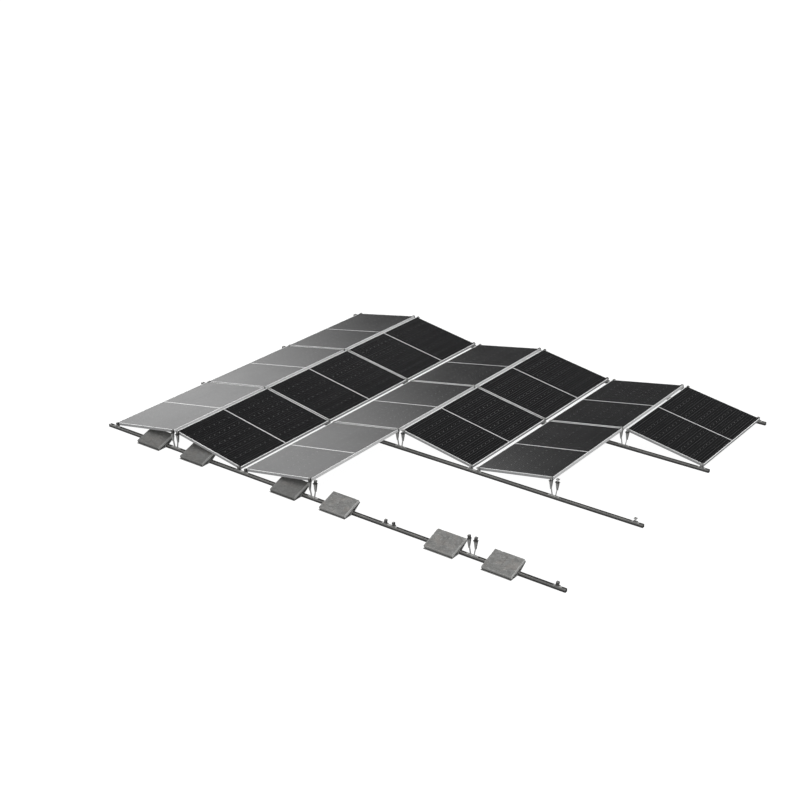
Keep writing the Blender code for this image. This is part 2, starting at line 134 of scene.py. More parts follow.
# -------------------------------------------------------------- node helpers
class Net:
    """Short names for the shader nodes that the materials below are made of."""

    def __init__(self, tree):
        self.tree = tree
        tree.nodes.clear()

    def node(self, kind, **settings):
        made = self.tree.nodes.new(kind)
        for key, value in settings.items():
            setattr(made, key, value)
        return made

    def link(self, value, socket):
        if isinstance(value, bpy.types.NodeSocket):
            self.tree.links.new(value, socket)
        elif value is not None:
            socket.default_value = value

    def math(self, operation, a, b=None, c=None, clamp=False):
        made = self.node("ShaderNodeMath", operation=operation, use_clamp=clamp)
        for value, socket in zip((a, b, c), made.inputs):
            self.link(value, socket)
        return made.outputs[0]

    def add(self, a, b):
        return self.math("ADD", a, b)

    def sub(self, a, b):
        return self.math("SUBTRACT", a, b)

    def mul(self, a, b):
        return self.math("MULTIPLY", a, b)

    def absolute(self, a):
        return self.math("ABSOLUTE", a)

    def below(self, a, limit):
        return self.math("LESS_THAN", a, limit)

    def above(self, a, limit):
        return self.math("GREATER_THAN", a, limit)

    def both(self, a, b):
        return self.math("MINIMUM", a, b)

    def either(self, a, b):
        return self.math("MAXIMUM", a, b)

    def spread(self, value, low, high, to_low=0.0, to_high=1.0, kind="SMOOTHSTEP"):
        made = self.node("ShaderNodeMapRange", interpolation_type=kind, clamp=True)
        for given, name in (
            (value, "Value"),
            (low, "From Min"),
            (high, "From Max"),
            (to_low, "To Min"),
            (to_high, "To Max"),
        ):
            self.link(given, made.inputs[name])
        return made.outputs[0]

    def mix(self, share, a, b, blend="MIX"):
        made = self.node("ShaderNodeMix", data_type="RGBA", blend_type=blend)
        self.link(share, made.inputs[0])
        for value, index in ((a, 6), (b, 7)):
            if isinstance(value, tuple) and len(value) == 3:
                value = (*value, 1.0)
            self.link(value, made.inputs[index])
        return made.outputs[2]

    def coordinates(self, kind="Object"):
        return self.node("ShaderNodeTexCoord").outputs[kind]

    def split(self, vector):
        made = self.node("ShaderNodeSeparateXYZ")
        self.link(vector, made.inputs[0])
        return made.outputs[0], made.outputs[1], made.outputs[2]

    def merge(self, x, y, z):
        made = self.node("ShaderNodeCombineXYZ")
        for value, socket in zip((x, y, z), made.inputs):
            self.link(value, socket)
        return made.outputs[0]

    def stretched(self, vector, scale, shift=None):
        made = self.node("ShaderNodeMapping")
        self.link(vector, made.inputs["Vector"])
        made.inputs["Scale"].default_value = scale
        self.link(shift, made.inputs["Location"])
        return made.outputs[0]

    def noise(self, vector, scale, detail=3.0, roughness=0.55, distortion=0.0):
        made = self.node("ShaderNodeTexNoise", noise_dimensions="3D")
        self.link(vector, made.inputs["Vector"])
        made.inputs["Scale"].default_value = scale
        made.inputs["Detail"].default_value = detail
        made.inputs["Roughness"].default_value = roughness
        made.inputs["Distortion"].default_value = distortion
        return made.outputs[0]

    def voronoi(self, vector, scale, feature="F1", output="Distance", randomness=1.0):
        made = self.node("ShaderNodeTexVoronoi", feature=feature)
        self.link(vector, made.inputs["Vector"])
        made.inputs["Scale"].default_value = scale
        made.inputs["Randomness"].default_value = randomness
        return made.outputs[output]

    def chance(self, vector):
        made = self.node("ShaderNodeTexWhiteNoise", noise_dimensions="3D")
        self.link(vector, made.inputs["Vector"])
        return made.outputs["Value"]

    def attribute(self, name):
        made = self.node("ShaderNodeAttribute", attribute_type="GEOMETRY")
        made.attribute_name = name
        return made.outputs["Fac"]

    def bump(self, height, strength, distance, normal=None):
        made = self.node("ShaderNodeBump")
        made.inputs["Strength"].default_value = strength
        made.inputs["Distance"].default_value = distance
        self.link(height, made.inputs["Height"])
        self.link(normal, made.inputs["Normal"])
        return made.outputs[0]

    def surface(self, color, roughness, normal=None, metallic=0.0, ior=1.5, specular=None):
        shader = self.node("ShaderNodeBsdfPrincipled")
        self.link(color, shader.inputs["Base Color"])
        self.link(roughness, shader.inputs["Roughness"])
        self.link(normal, shader.inputs["Normal"])
        self.link(metallic, shader.inputs["Metallic"])
        shader.inputs["IOR"].default_value = ior
        if specular is not None:
            shader.inputs["Specular IOR Level"].default_value = specular
        out = self.node("ShaderNodeOutputMaterial")
        self.tree.links.new(shader.outputs[0], out.inputs["Surface"])
        return shader


def new_material(name):
    material = bpy.data.materials.new(name)
    material.use_nodes = True
    return material, Net(material.node_tree)


# ----------------------------------------------------------------- materials
def object_shift(net, reach):
    """A vector that differs from piece to piece, so that no two look alike."""
    random_value = net.node("ShaderNodeObjectInfo").outputs["Random"]
    return net.merge(
        net.mul(random_value, reach), net.mul(random_value, -0.7 * reach), net.mul(random_value, 0.4 * reach)
    )


def rail_material():
    """Dull grey extrusion: drawn lines along X, handling marks, dust; painted shade darkens the foot and the top
    beyond the slot, which are also rougher.
    """
    material, net = new_material("rail_extrusion")
    where = net.coordinates()
    shift = object_shift(net, 7.0)
    moved_where = net.stretched(where, (1.0, 1.0, 1.0), shift)
    lines = net.noise(net.stretched(moved_where, (0.9, 700.0, 700.0)), 1.0, 2.0, 0.6)
    fine = net.noise(net.stretched(moved_where, (3.0, 2600.0, 2600.0)), 1.0, 1.0)
    patch = net.noise(moved_where, 3.2, 5.0, 0.62)
    scuff = net.noise(net.stretched(moved_where, (14.0, 160.0, 160.0)), 1.0, 6.0, 0.7, 0.4)
    scratched = net.spread(scuff, 0.64, 0.70)
    _, across, height = net.split(where)
    _, _, upward = net.split(net.node("ShaderNodeNewGeometry").outputs["Normal"])
    dust = net.mul(net.spread(upward, 0.6, 0.95), net.spread(patch, 0.35, 0.68))
    # Painted shade: the foot, and the top on the far side of the slot, go almost black
    shade_and_grime = net.mul(net.spread(height, 0.0300, 0.0200), net.spread(net.noise(moved_where, 45.0, 4.0), 0.25, 0.75, 0.80, 1.0))
    slot_side_shade = net.mul(net.spread(height, 0.0360, 0.0385), net.spread(across, 0.0050, 0.0090))
    shade_and_grime = net.either(shade_and_grime, net.mul(slot_side_shade, net.spread(patch, 0.25, 0.60, 0.60, 0.85)))
    edge = net.mul(net.attribute("edge"), net.spread(net.noise(moved_where, 60.0, 3.0), 0.42, 0.62, 0.15, 1.0))
    color = net.mix(net.spread(patch, 0.3, 0.7), (0.194, 0.193, 0.188), (0.228, 0.226, 0.218))
    color = net.mix(net.spread(lines, 0.3, 0.7, 0.0, 0.35), color, (0.190, 0.190, 0.188))
    color = net.mix(net.mul(scratched, 0.35), color, (0.42, 0.42, 0.41))
    color = net.mix(net.mul(dust, 0.35), color, (0.330, 0.318, 0.295))
    # Painted shade on the foot and on the top beyond the slot
    color = net.mix(net.mul(shade_and_grime, 0.96), color, (0.009, 0.0088, 0.0084))
    color = net.mix(net.mul(edge, 0.80), color, (0.060, 0.059, 0.057))
    rough = net.add(
        net.spread(lines, 0.2, 0.8, 0.40, 0.52), net.add(net.mul(dust, 0.20), net.mul(shade_and_grime, 0.15))
    )
    normal = net.bump(lines, 0.22, 0.0004)
    normal = net.bump(fine, 0.10, 0.0001, normal)
    net.surface(color, rough, normal, net.spread(net.either(dust, shade_and_grime), 0.0, 1.0, 0.58, 0.20), specular=0.4)
    return material


def frame_material(name, stretch, wall_shade_share):
    """Silver anodised bar, brushed along its length."""
    material, net = new_material(name)
    where = net.stretched(net.coordinates(), (1.0, 1.0, 1.0), object_shift(net, 5.0))
    brushed = net.noise(net.stretched(where, stretch), 1.0, 3.0, 0.6)
    cloud = net.noise(where, 6.0, 4.0, 0.6)
    marks = net.spread(net.noise(where, 130.0, 5.0, 0.7), 0.66, 0.72)
    edge = net.attribute("edge")
    color = net.mix(net.spread(cloud, 0.3, 0.7), (0.920, 0.922, 0.924), (0.955, 0.956, 0.953))
    color = net.mix(net.spread(brushed, 0.35, 0.65, 0.0, 0.30), color, (0.830, 0.834, 0.836))
    color = net.mix(net.mul(marks, 0.30), color, (0.58, 0.58, 0.57))
    # Painted shade: the side walls are painted darker and greyer than the top lip, most on the walls that face
    # downwards
    _, _, facing = net.split(net.coordinates("Normal"))
    wall = net.spread(net.absolute(facing), 0.80, 0.40)
    _, _, upward = net.split(net.node("ShaderNodeNewGeometry").outputs["Normal"])
    wall = net.mul(wall, net.spread(upward, -0.05, -0.14, wall_shade_share, 0.92))
    color = net.mix(wall, color, net.mix(net.spread(brushed, 0.35, 0.65), (0.29, 0.292, 0.295), (0.22, 0.222, 0.225)))
    color = net.mix(net.mul(edge, 0.5), color, (0.94, 0.94, 0.94))
    rough = net.add(net.spread(brushed, 0.25, 0.75, 0.34, 0.46), net.mul(marks, 0.12))
    normal = net.bump(brushed, 0.12, 0.0002)
    net.surface(color, rough, normal, 0.18, specular=0.5)
    return material


def cell_material():
    """Glass over six columns of half cells, with busbars, corner gaps and a white middle gap."""
    material, net = new_material("module_face")
    x, y, _ = net.split(net.coordinates())
    module_random = net.node("ShaderNodeObjectInfo").outputs["Random"]
    column = net.mul(net.add(x, 0.552), 1 / 0.184)
    column_number = net.math("FLOOR", column)
    in_column = net.math("FRACT", column)
    from_column_line = net.sub(0.092, net.mul(net.absolute(net.sub(in_column, 0.5)), 0.184))
    side = net.math("SIGN", y)
    along = net.absolute(y)
    row = net.mul(net.sub(along, 0.0095), 1 / 0.0918)
    row_number = net.math("FLOOR", row)
    in_row = net.math("FRACT", row)
    from_row_line = net.sub(0.0459, net.mul(net.absolute(net.sub(in_row, 0.5)), 0.0918))
    # Where there is no silicon
    border = net.either(net.above(net.absolute(x), 0.551), net.above(along, 0.8357))
    middle = net.below(along, 0.0080)
    gap = net.either(net.below(from_column_line, 0.0010), net.below(from_row_line, 0.0006))
    corner = net.below(net.add(from_column_line, from_row_line), 0.0076)
    inner = net.both(net.below(net.absolute(x), 0.50), net.below(along, 0.81))
    dot = net.both(corner, inner)
    # Silver lines on the cells
    from_bar = net.mul(net.absolute(net.sub(net.math("FRACT", net.mul(in_column, 5.0)), 0.5)), 0.0368)
    busbar = net.below(from_bar, 0.00045)
    # The bars differ a little in strength, in an order that repeats every two cells
    bar_place = net.add(net.math("FLOOR", net.mul(x, 1 / 0.0368)), 0.5)
    order = net.add(
        net.mul(net.math("COSINE", net.mul(bar_place, 2 * math.pi * 0.6)), 0.21),
        net.mul(net.math("COSINE", net.mul(bar_place, 2 * math.pi * 0.3)), 0.27),
    )
    # and from one delivery of modules to the next
    from_left, from_front, _ = net.split(net.node("ShaderNodeNewGeometry").outputs["Position"])
    delivery = net.add(
        net.spread(from_left, -2.4, 0.4, 0.43, 0.83, "LINEAR"),
        net.sub(net.spread(from_front, -0.4, 1.2, 0.0, 0.22), net.spread(from_left, 1.2, 2.4, 0.0, 0.24)),
    )
    beside_bar = net.mul(net.spread(from_bar, 0.0060, 0.0012), net.mul(delivery, net.add(order, 1.0)))
    pad = net.both(
        net.below(from_bar, 0.0009),
        net.below(net.absolute(net.sub(net.math("FRACT", net.mul(in_row, 4.0)), 0.5)), 0.055),
    )
    finger = net.below(net.math("FRACT", net.mul(y, 1 / 0.00145)), 0.10)
    silver = net.either(busbar, pad)
    # Each half cell has a tone of its own
    tone = net.chance(
        net.merge(column_number, net.mul(side, net.add(row_number, 1.0)), net.mul(module_random, 31.0))
    )
    grain = net.noise(net.stretched(net.coordinates(), (1.0, 1.0, 1.0), object_shift(net, 3.0)), 2.4, 3.0)
    cell = net.mix(tone, (0.0024, 0.0025, 0.0030), (0.0044, 0.0046, 0.0052))
    cell = net.mix(net.spread(grain, 0.35, 0.65, 0.0, 0.35), cell, (0.0016, 0.0017, 0.0021))
    cell = net.mix(net.mul(finger, 0.06), cell, (0.06, 0.06, 0.06))
    cell = net.mix(beside_bar, cell, (0.0425, 0.0428, 0.0440))
    color = net.mix(silver, cell, (0.110, 0.111, 0.113))
    color = net.mix(gap, color, (0.0030, 0.0030, 0.0032))
    color = net.mix(dot, color, (0.155, 0.155, 0.153))
    # The middle gap shows the white sheet, crossed by the tabbed ribbons
    ribbon = net.both(
        net.below(net.absolute(net.sub(along, 0.0052)), 0.0016),
        net.above(net.absolute(net.sub(net.math("FRACT", net.mul(x, 1 / 0.368)), 0.5)), 0.02),
    )
    sheet = net.mix(net.spread(grain, 0.3, 0.7), (0.70, 0.70, 0.70), (0.77, 0.77, 0.77))
    sheet = net.mix(ribbon, sheet, (0.56, 0.56, 0.57))
    color = net.mix(middle, color, sheet)
    color = net.mix(border, color, (0.0060, 0.0060, 0.0062))
    # Faint film of dust on the glass, thicker against the frame
    to_frame = net.both(net.sub(0.556, net.absolute(x)), net.sub(0.850, along))
    film = net.noise(net.stretched(net.coordinates(), (1.0, 1.0, 1.0), object_shift(net, 9.0)), 9.0, 5.0, 0.65)
    film = net.mul(net.spread(to_frame, 0.030, 0.0, 0.12, 1.0), net.spread(film, 0.35, 0.75))
    color = net.mix(net.mul(film, 0.030), color, (0.30, 0.28, 0.25))
    rough = net.add(net.spread(grain, 0.3, 0.7, 0.10, 0.15), net.mul(film, 0.12))
    pressed = net.noise(net.coordinates(), 1400.0, 1.0)
    wavy = net.noise(net.coordinates(), 3.5, 2.0)
    normal = net.bump(pressed, 0.020, 0.0002)
    normal = net.bump(wavy, 0.020, 0.004, normal)
    net.surface(color, rough, normal, 0.0, ior=1.5)
    return material


def backsheet_material():
    material, net = new_material("module_backsheet")
    where = net.coordinates()
    x, y, _ = net.split(where)
    cloud = net.noise(where, 4.0, 4.0)
    weave = net.noise(where, 900.0, 2.0)
    column = net.absolute(net.sub(net.math("FRACT", net.mul(net.add(x, 0.552), 1 / 0.184)), 0.5))
    row = net.absolute(
        net.sub(net.math("FRACT", net.mul(net.sub(net.absolute(y), 0.0095), 1 / 0.0918)), 0.5)
    )
    seam = net.either(net.spread(column, 0.485, 0.497), net.spread(row, 0.47, 0.492))
    color = net.mix(net.spread(cloud, 0.3, 0.7), (0.62, 0.62, 0.61), (0.70, 0.70, 0.69))
    color = net.mix(net.mul(seam, 0.25), color, (0.50, 0.50, 0.50))
    height = net.add(net.mul(seam, -1.0), net.mul(weave, 0.12))
    net.surface(color, net.spread(weave, 0.2, 0.8, 0.45, 0.62), net.bump(height, 0.25, 0.0005))
    return material


def box_material():
    material, net = new_material("junction_box_plastic")
    where = net.coordinates()
    grain = net.noise(where, 1500.0, 3.0, 0.7)
    cloud = net.noise(where, 30.0, 3.0)
    edge = net.attribute("edge")
    color = net.mix(net.spread(cloud, 0.3, 0.7), (0.014, 0.014, 0.015), (0.024, 0.024, 0.025))
    color = net.mix(net.mul(edge, 0.4), color, (0.055, 0.055, 0.055))
    net.surface(color, net.spread(grain, 0.2, 0.8, 0.48, 0.66), net.bump(grain, 0.25, 0.0002))
    return material


def support_material(name, low, high, streak, metallic):
    """Mill finish: rolled streaks, stains, brighter rubbed edges, some dust on top."""
    material, net = new_material(name)
    where = net.stretched(net.coordinates(), (1.0, 1.0, 1.0), object_shift(net, 6.0))
    rolled = net.noise(net.stretched(where, (900.0, 25.0, 25.0)), 1.0, 3.0, 0.6)
    cloud = net.noise(where, 38.0, 5.0, 0.65)
    scuffs = net.spread(net.noise(where, 420.0, 6.0, 0.75, 0.6), 0.62, 0.70)
    _, _, upward = net.split(net.node("ShaderNodeNewGeometry").outputs["Normal"])
    dust = net.mul(net.spread(upward, 0.7, 1.0), net.spread(cloud, 0.45, 0.7))
    edge = net.mul(net.attribute("edge"), net.spread(cloud, 0.35, 0.60, 0.35, 1.0))
    color = net.mix(net.spread(cloud, 0.3, 0.7), low, high)
    color = net.mix(net.spread(rolled, 0.35, 0.65, 0.0, 0.35), color, streak)
    color = net.mix(net.mul(scuffs, 0.35), color, (0.62, 0.62, 0.61))
    color = net.mix(net.mul(dust, 0.30), color, (0.42, 0.40, 0.36))
    color = net.mix(net.mul(edge, 0.65), color, (0.74, 0.74, 0.73))
    rough = net.add(net.spread(rolled, 0.3, 0.7, 0.34, 0.46), net.mul(net.either(scuffs, dust), 0.15))
    normal = net.bump(rolled, 0.15, 0.0002)
    normal = net.bump(cloud, 0.06, 0.0006, normal)
    net.surface(color, rough, normal, net.spread(dust, 0.0, 1.0, metallic, 0.6 * metallic), specular=0.5)
    return material


def dark_material():
    """Dark anodised clamps and heads, with bright rubbed edges."""
    material, net = new_material("clamp_dark_anodised")
    where = net.stretched(net.coordinates(), (1.0, 1.0, 1.0), object_shift(net, 4.0))
    drawn = net.noise(net.stretched(where, (20.0, 900.0, 900.0)), 1.0, 3.0, 0.6)
    cloud = net.noise(where, 60.0, 4.0, 0.6)
    scuffs = net.spread(net.noise(where, 500.0, 6.0, 0.75, 0.6), 0.63, 0.70)
    edge = net.mul(net.attribute("edge"), net.spread(cloud, 0.35, 0.60, 0.3, 1.0))
    color = net.mix(net.spread(cloud, 0.3, 0.7), (0.070, 0.069, 0.067), (0.105, 0.104, 0.101))
    color = net.mix(net.spread(drawn, 0.35, 0.65, 0.0, 0.30), color, (0.050, 0.050, 0.049))
    color = net.mix(net.mul(scuffs, 0.30), color, (0.26, 0.26, 0.25))
    color = net.mix(net.mul(edge, 0.55), color, (0.32, 0.32, 0.31))
    rough = net.add(net.spread(drawn, 0.3, 0.7, 0.36, 0.48), net.mul(scuffs, 0.15))
    net.surface(color, rough, net.bump(drawn, 0.15, 0.0002), 0.55, specular=0.5)
    return material


def steel_material():
    """Screws: turned marks, darker in the thread, rubbed bright on the rims."""
    material, net = new_material("screw_stainless")
    where = net.coordinates()
    grain = net.noise(where, 700.0, 4.0, 0.7)
    cloud = net.noise(where, 140.0, 3.0)
    edge = net.attribute("edge")
    color = net.mix(net.spread(cloud, 0.3, 0.7), (0.50, 0.50, 0.49), (0.64, 0.64, 0.63))
    color = net.mix(net.mul(edge, 0.6), color, (0.82, 0.82, 0.81))
    net.surface(
        color, net.spread(grain, 0.2, 0.8, 0.24, 0.40), net.bump(grain, 0.12, 0.0001), 0.95
    )
    return material


def concrete_material():
    """Cast slab: mottled grey with rusty and purplish patches, grit, pores; arrises lighter from wear and painted
    highlight, painted light on the upper sides, painted shade low on the sides and on the slabs under the modules.
    """
    material, net = new_material("cast_concrete")
    where = net.coordinates()
    shift = object_shift(net, 11.0)
    moved_where = net.stretched(where, (1.0, 1.0, 1.0), shift)
    broad = net.noise(moved_where, 5.5, 5.0, 0.60, 0.3)
    blotch = net.noise(moved_where, 17.0, 6.0, 0.66, 0.5)
    rusty = net.spread(net.noise(net.stretched(where, (1.0, 1.0, 1.0), object_shift(net, 23.0)), 8.0, 4.0, 0.6, 0.6), 0.50, 0.64)
    purple = net.spread(net.noise(net.stretched(where, (1.0, 1.0, 1.0), object_shift(net, 37.0)), 11.0, 4.0, 0.6), 0.52, 0.66)
    sand = net.noise(moved_where, 620.0, 4.0, 0.8)
    grit = net.voronoi(moved_where, 210.0)
    grit_tone = net.chance(net.voronoi(moved_where, 210.0, output="Position"))
    stones = net.mul(net.spread(grit, 0.36, 0.20), net.spread(grit_tone, 0.55, 0.75))
    pore_field = net.voronoi(moved_where, 95.0)
    pore_tone = net.chance(net.voronoi(moved_where, 95.0, output="Position"))
    pores = net.mul(net.spread(pore_field, 0.20, 0.10), net.above(pore_tone, 0.72))
    edge = net.attribute("edge")
    flank = net.attribute("flank")
    x, _, height_up = net.split(where)
    seam = net.mul(
        net.spread(net.absolute(net.add(x, net.mul(net.sub(blotch, 0.5), 0.012))), 0.0052, 0.0012),
        net.spread(net.noise(moved_where, 30.0, 3.0), 0.35, 0.60),
    )
    flake = net.noise(net.stretched(moved_where, (1.0, 1.4, 1.0)), 34.0, 5.0, 0.70, 0.8)
    # Wavy trowel marks, mostly along the slab
    wave = net.noise(net.stretched(moved_where, (0.6, 1.6, 1.0)), 6.5, 2.0, 0.45, 0.4)
    trowel = net.mul(
        net.spread(net.absolute(net.sub(wave, 0.5)), 0.032, 0.010), net.spread(broad, 0.40, 0.55, 0.35, 1.0)
    )
    color = net.mix(net.spread(broad, 0.32, 0.68), (0.138, 0.139, 0.135), (0.205, 0.206, 0.200))
    color = net.mix(net.spread(blotch, 0.38, 0.66, 0.0, 0.60), color, (0.134, 0.134, 0.130))
    color = net.mix(net.spread(flake, 0.52, 0.66, 0.0, 0.75), color, (0.088, 0.088, 0.085))
    color = net.mix(net.spread(flake, 0.46, 0.32, 0.0, 0.60), color, (0.400, 0.402, 0.394))
    color = net.mix(net.mul(rusty, 0.30), color, (0.235, 0.200, 0.176))
    color = net.mix(net.mul(purple, 0.26), color, (0.196, 0.184, 0.200))
    color = net.mix(net.spread(sand, 0.30, 0.72, 0.0, 0.35), color, (0.350, 0.350, 0.342))
    color = net.mix(net.mul(stones, 0.40), color, (0.110, 0.108, 0.106))
    color = net.mix(net.mul(trowel, 0.42), color, (0.090, 0.089, 0.086))
    color = net.mix(net.mul(seam, 0.62), color, (0.080, 0.079, 0.077))
    color = net.mix(net.mul(pores, 0.75), color, (0.050, 0.049, 0.047))
    # Lighter arrises: partly chipped wear, partly a painted highlight along the rounded edges
    color = net.mix(net.mul(edge, 0.55), color, (0.420, 0.420, 0.410))
    # Painted light: the upper part of the side faces is painted pale, the short sides most; painted shade darkens a
    # low band along all sides
    short_side = net.above(net.absolute(x), SLAB_LENGTH / 2 - 0.0030)
    upper = net.mul(net.spread(height_up, 0.007, 0.015), net.spread(blotch, 0.25, 0.45, 0.75, 1.0))
    color = net.mix(net.mul(net.mul(short_side, upper), 0.80), color, (0.560, 0.560, 0.548))
    long_side = net.mul(net.sub(1.0, short_side), flank)
    color = net.mix(net.mul(net.mul(long_side, upper), 0.60), color, (0.330, 0.330, 0.322))
    low_side_shade = net.mul(net.mul(flank, net.spread(height_up, 0.013, 0.006)), net.spread(blotch, 0.3, 0.6, 0.65, 0.9))
    color = net.mix(low_side_shade, color, (0.070, 0.069, 0.067))
    # Painted shade on the slabs under the modules, a little less on the short sides
    color = net.mix(net.mul(net.attribute("under_module_shade"), net.add(net.mul(short_side, -0.14), 0.52)), color, (0.070, 0.070, 0.068))
    height = net.add(net.mul(sand, 0.50), net.mul(blotch, 0.9))
    height = net.sub(height, net.mul(pores, 0.9))
    height = net.add(height, net.mul(stones, 0.18))
    normal = net.bump(height, 0.55, 0.0012)
    net.surface(color, net.spread(blotch, 0.2, 0.8, 0.80, 0.96), normal, specular=0.25)
    return material


def tray_material():
    """Folded sheet: faint spangle, rolling streaks and rubbed folds; painted shade darkens the low front lip."""
    material, net = new_material("tray_sheet_metal")
    where = net.stretched(net.coordinates(), (1.0, 1.0, 1.0), object_shift(net, 8.0))
    spangle = net.voronoi(where, 90.0, output="Color")
    streak = net.noise(net.stretched(where, (12.0, 420.0, 420.0)), 1.0, 3.0, 0.6)
    cloud = net.noise(where, 13.0, 5.0, 0.6)
    edge = net.attribute("edge")
    color = net.mix(net.spread(cloud, 0.3, 0.7), (0.62, 0.62, 0.615), (0.76, 0.76, 0.75))
    color = net.mix(0.12, color, spangle, "SOFT_LIGHT")
    color = net.mix(net.spread(streak, 0.3, 0.7, 0.0, 0.30), color, (0.50, 0.50, 0.50))
    color = net.mix(net.mul(edge, 0.55), color, (0.72, 0.72, 0.71))
    _, ahead, height = net.split(net.coordinates())
    # Painted shade on the low front lip
    front_lip_shade = net.mul(net.mul(net.spread(height, 0.019, 0.014), net.spread(ahead, -0.10, -0.14)), net.spread(cloud, 0.3, 0.6, 0.75, 0.95))
    color = net.mix(front_lip_shade, color, (0.170, 0.168, 0.163))
    rough = net.add(net.spread(streak, 0.3, 0.7, 0.30, 0.42), net.spread(cloud, 0.4, 0.7, 0.0, 0.12))
    net.surface(color, rough, net.bump(streak, 0.14, 0.0002), 0.55)
    return material


def floor_material():
    """Plain pale floor with the faintest mottling."""
    material, net = new_material("studio_floor")
    cloud = net.noise(net.coordinates(), 0.8, 3.0)
    color = net.mix(net.spread(cloud, 0.3, 0.7), (0.125, 0.125, 0.125), (0.135, 0.135, 0.135))
    shader = net.surface(color, net.spread(cloud, 0.2, 0.8, 0.86, 0.92), specular=0.0)
    shader.inputs["Emission Color"].default_value = (1.0, 1.0, 1.0, 1.0)
    shader.inputs["Emission Strength"].default_value = 0.96
    return material


RAIL = rail_material()
FRAME_LONG = frame_material("frame_anodised_long", (900.0, 1.2, 900.0), 0.35)
FRAME_SHORT = frame_material("frame_anodised_short", (1.2, 900.0, 900.0), 0.94)
CELLS = cell_material()
BACKSHEET = backsheet_material()
BOX_PLASTIC = box_material()
SUPPORT = support_material(
    "support_mill_finish", (0.26, 0.26, 0.256), (0.36, 0.36, 0.355), (0.20, 0.20, 0.198), 0.70
)
# Brighter copies of the mill finish: painted light on the legs and the base plates of the same brackets
LEG = support_material(
    "leg_painted_light", (0.36, 0.36, 0.355), (0.46, 0.46, 0.452), (0.28, 0.28, 0.276), 0.40
)
BASE = support_material(
    "base_painted_light", (0.46, 0.46, 0.454), (0.58, 0.58, 0.572), (0.36, 0.36, 0.355), 0.40
)
STEEL = steel_material()
DARK = dark_material()
CLAMP_FINISH = {"front": DARK, "mid": SUPPORT, "back": DARK}
CONCRETE = concrete_material()
TRAY = tray_material()


# -------------------------------------------------------------- mesh helpers
# An outline is a list of (a, b, arc). arc is 1 where the side that starts at
# the point lies on a rounded corner, which is shaded smooth and marked "edge".
def rounded(points, radius, steps=3, closed=True):
    """Outline with its corners rounded; radius is one number or one for each point."""
    count = len(points)
    radii = radius if isinstance(radius, (list, tuple)) else [radius] * count
    made = []
    for i, point in enumerate(points):
        here = Vector(point[:2])
        if radii[i] <= 0 or (not closed and i in (0, count - 1)):
            made.append((here.x, here.y, 0))
            continue
        before = Vector(points[i - 1][:2]) - here
        after = Vector(points[(i + 1) % count][:2]) - here
        room = 0.48 * min(before.length, after.length)
        before.normalize()
        after.normalize()
        half = before.angle(after) / 2
        if half > math.radians(88.5):
            made.append((here.x, here.y, 0))
            continue
        reach = min(radii[i] / math.tan(half), room)
        size = reach * math.tan(half)
        centre = here + (before + after).normalized() * (size / math.sin(half))
        start = here + before * reach - centre
        end = here + after * reach - centre
        turn = start.angle_signed(end)
        for step in range(steps + 1):
            angle = -turn * step / steps
            spun = Matrix.Rotation(angle, 2) @ start
            made.append((centre.x + spun.x, centre.y + spun.y, 1 if step < steps else 0))
    return made


def marked(points):
    return [(p[0], p[1], p[2] if len(p) > 2 else 0) for p in points]


def turned_round(outline):
    """The same outline the other way round."""
    return [
        (outline[i][0], outline[i][1], outline[i - 1][2]) for i in range(len(outline) - 1, -1, -1)
    ]


def area_of(points):
    return 0.5 * sum(
        a[0] * b[1] - b[0] * a[1] for a, b in zip(points, points[1:] + points[:1])
    )


def prism(outline, low, high, place, holes=()):
    """Outline with optional holes, extruded from low to high."""
    loops = [marked(outline)] + [marked(hole) for hole in holes]
    loops = [
        loop if (area_of(loop) > 0) == (index == 0) else turned_round(loop)
        for index, loop in enumerate(loops)
    ]
    mesh = bmesh.new()
    edge = mesh.faces.layers.float.new("edge")
    flat = [point for loop in loops for point in loop]
    rings = [[mesh.verts.new(place(p[0], p[1], t)) for p in flat] for t in (low, high)]
    start = 0
    for loop in loops:
        count = len(loop)
        for i in range(count):
            j = (i + 1) % count
            face = mesh.faces.new(
                (
                    rings[0][start + i],
                    rings[0][start + j],
                    rings[1][start + j],
                    rings[1][start + i],
                )
            )
            if loop[i][2]:
                face.smooth = True
                face[edge] = 1.0
        start += count
    if holes:
        caps = tessellate_polygon([[Vector((p[0], p[1], 0)) for p in loop] for loop in loops])
    else:
        caps = [tuple(range(len(flat)))]
    for cap in caps:
        mesh.faces.new([rings[0][i] for i in reversed(cap)])
        mesh.faces.new([rings[1][i] for i in cap])
    bmesh.ops.recalc_face_normals(mesh, faces=mesh.faces)
    return mesh


def along_x(outline, low, high, holes=()):
    return prism(outline, low, high, lambda a, b, t: (t, a, b), holes)


def along_y(outline, low, high, holes=()):
    return prism(outline, low, high, lambda a, b, t: (a, t, b), holes)


def along_z(outline, low, high, holes=()):
    return prism(outline, low, high, lambda a, b, t: (a, b, t), holes)


def rectangle(x, y):
    return [(x[0], y[0]), (x[1], y[0]), (x[1], y[1]), (x[0], y[1])]


def softened(mesh, width, steps=2):
    """Bevels every edge sharper than 40 degrees."""
    edge = mesh.faces.layers.float["edge"]
    mesh.faces.index_update()
    edges = [
        e
        for e in mesh.edges
        if len(e.link_faces) == 2 and e.calc_face_angle(0.0) > math.radians(40)
    ]
    made = bmesh.ops.bevel(
        mesh,
        geom=edges,
        offset=width,
        offset_type="OFFSET",
        segments=steps,
        profile=0.5,
        affect="EDGES",
        clamp_overlap=True,
    )
    for face in made["faces"]:
        face.smooth = True
        face[edge] = 1.0
    return mesh


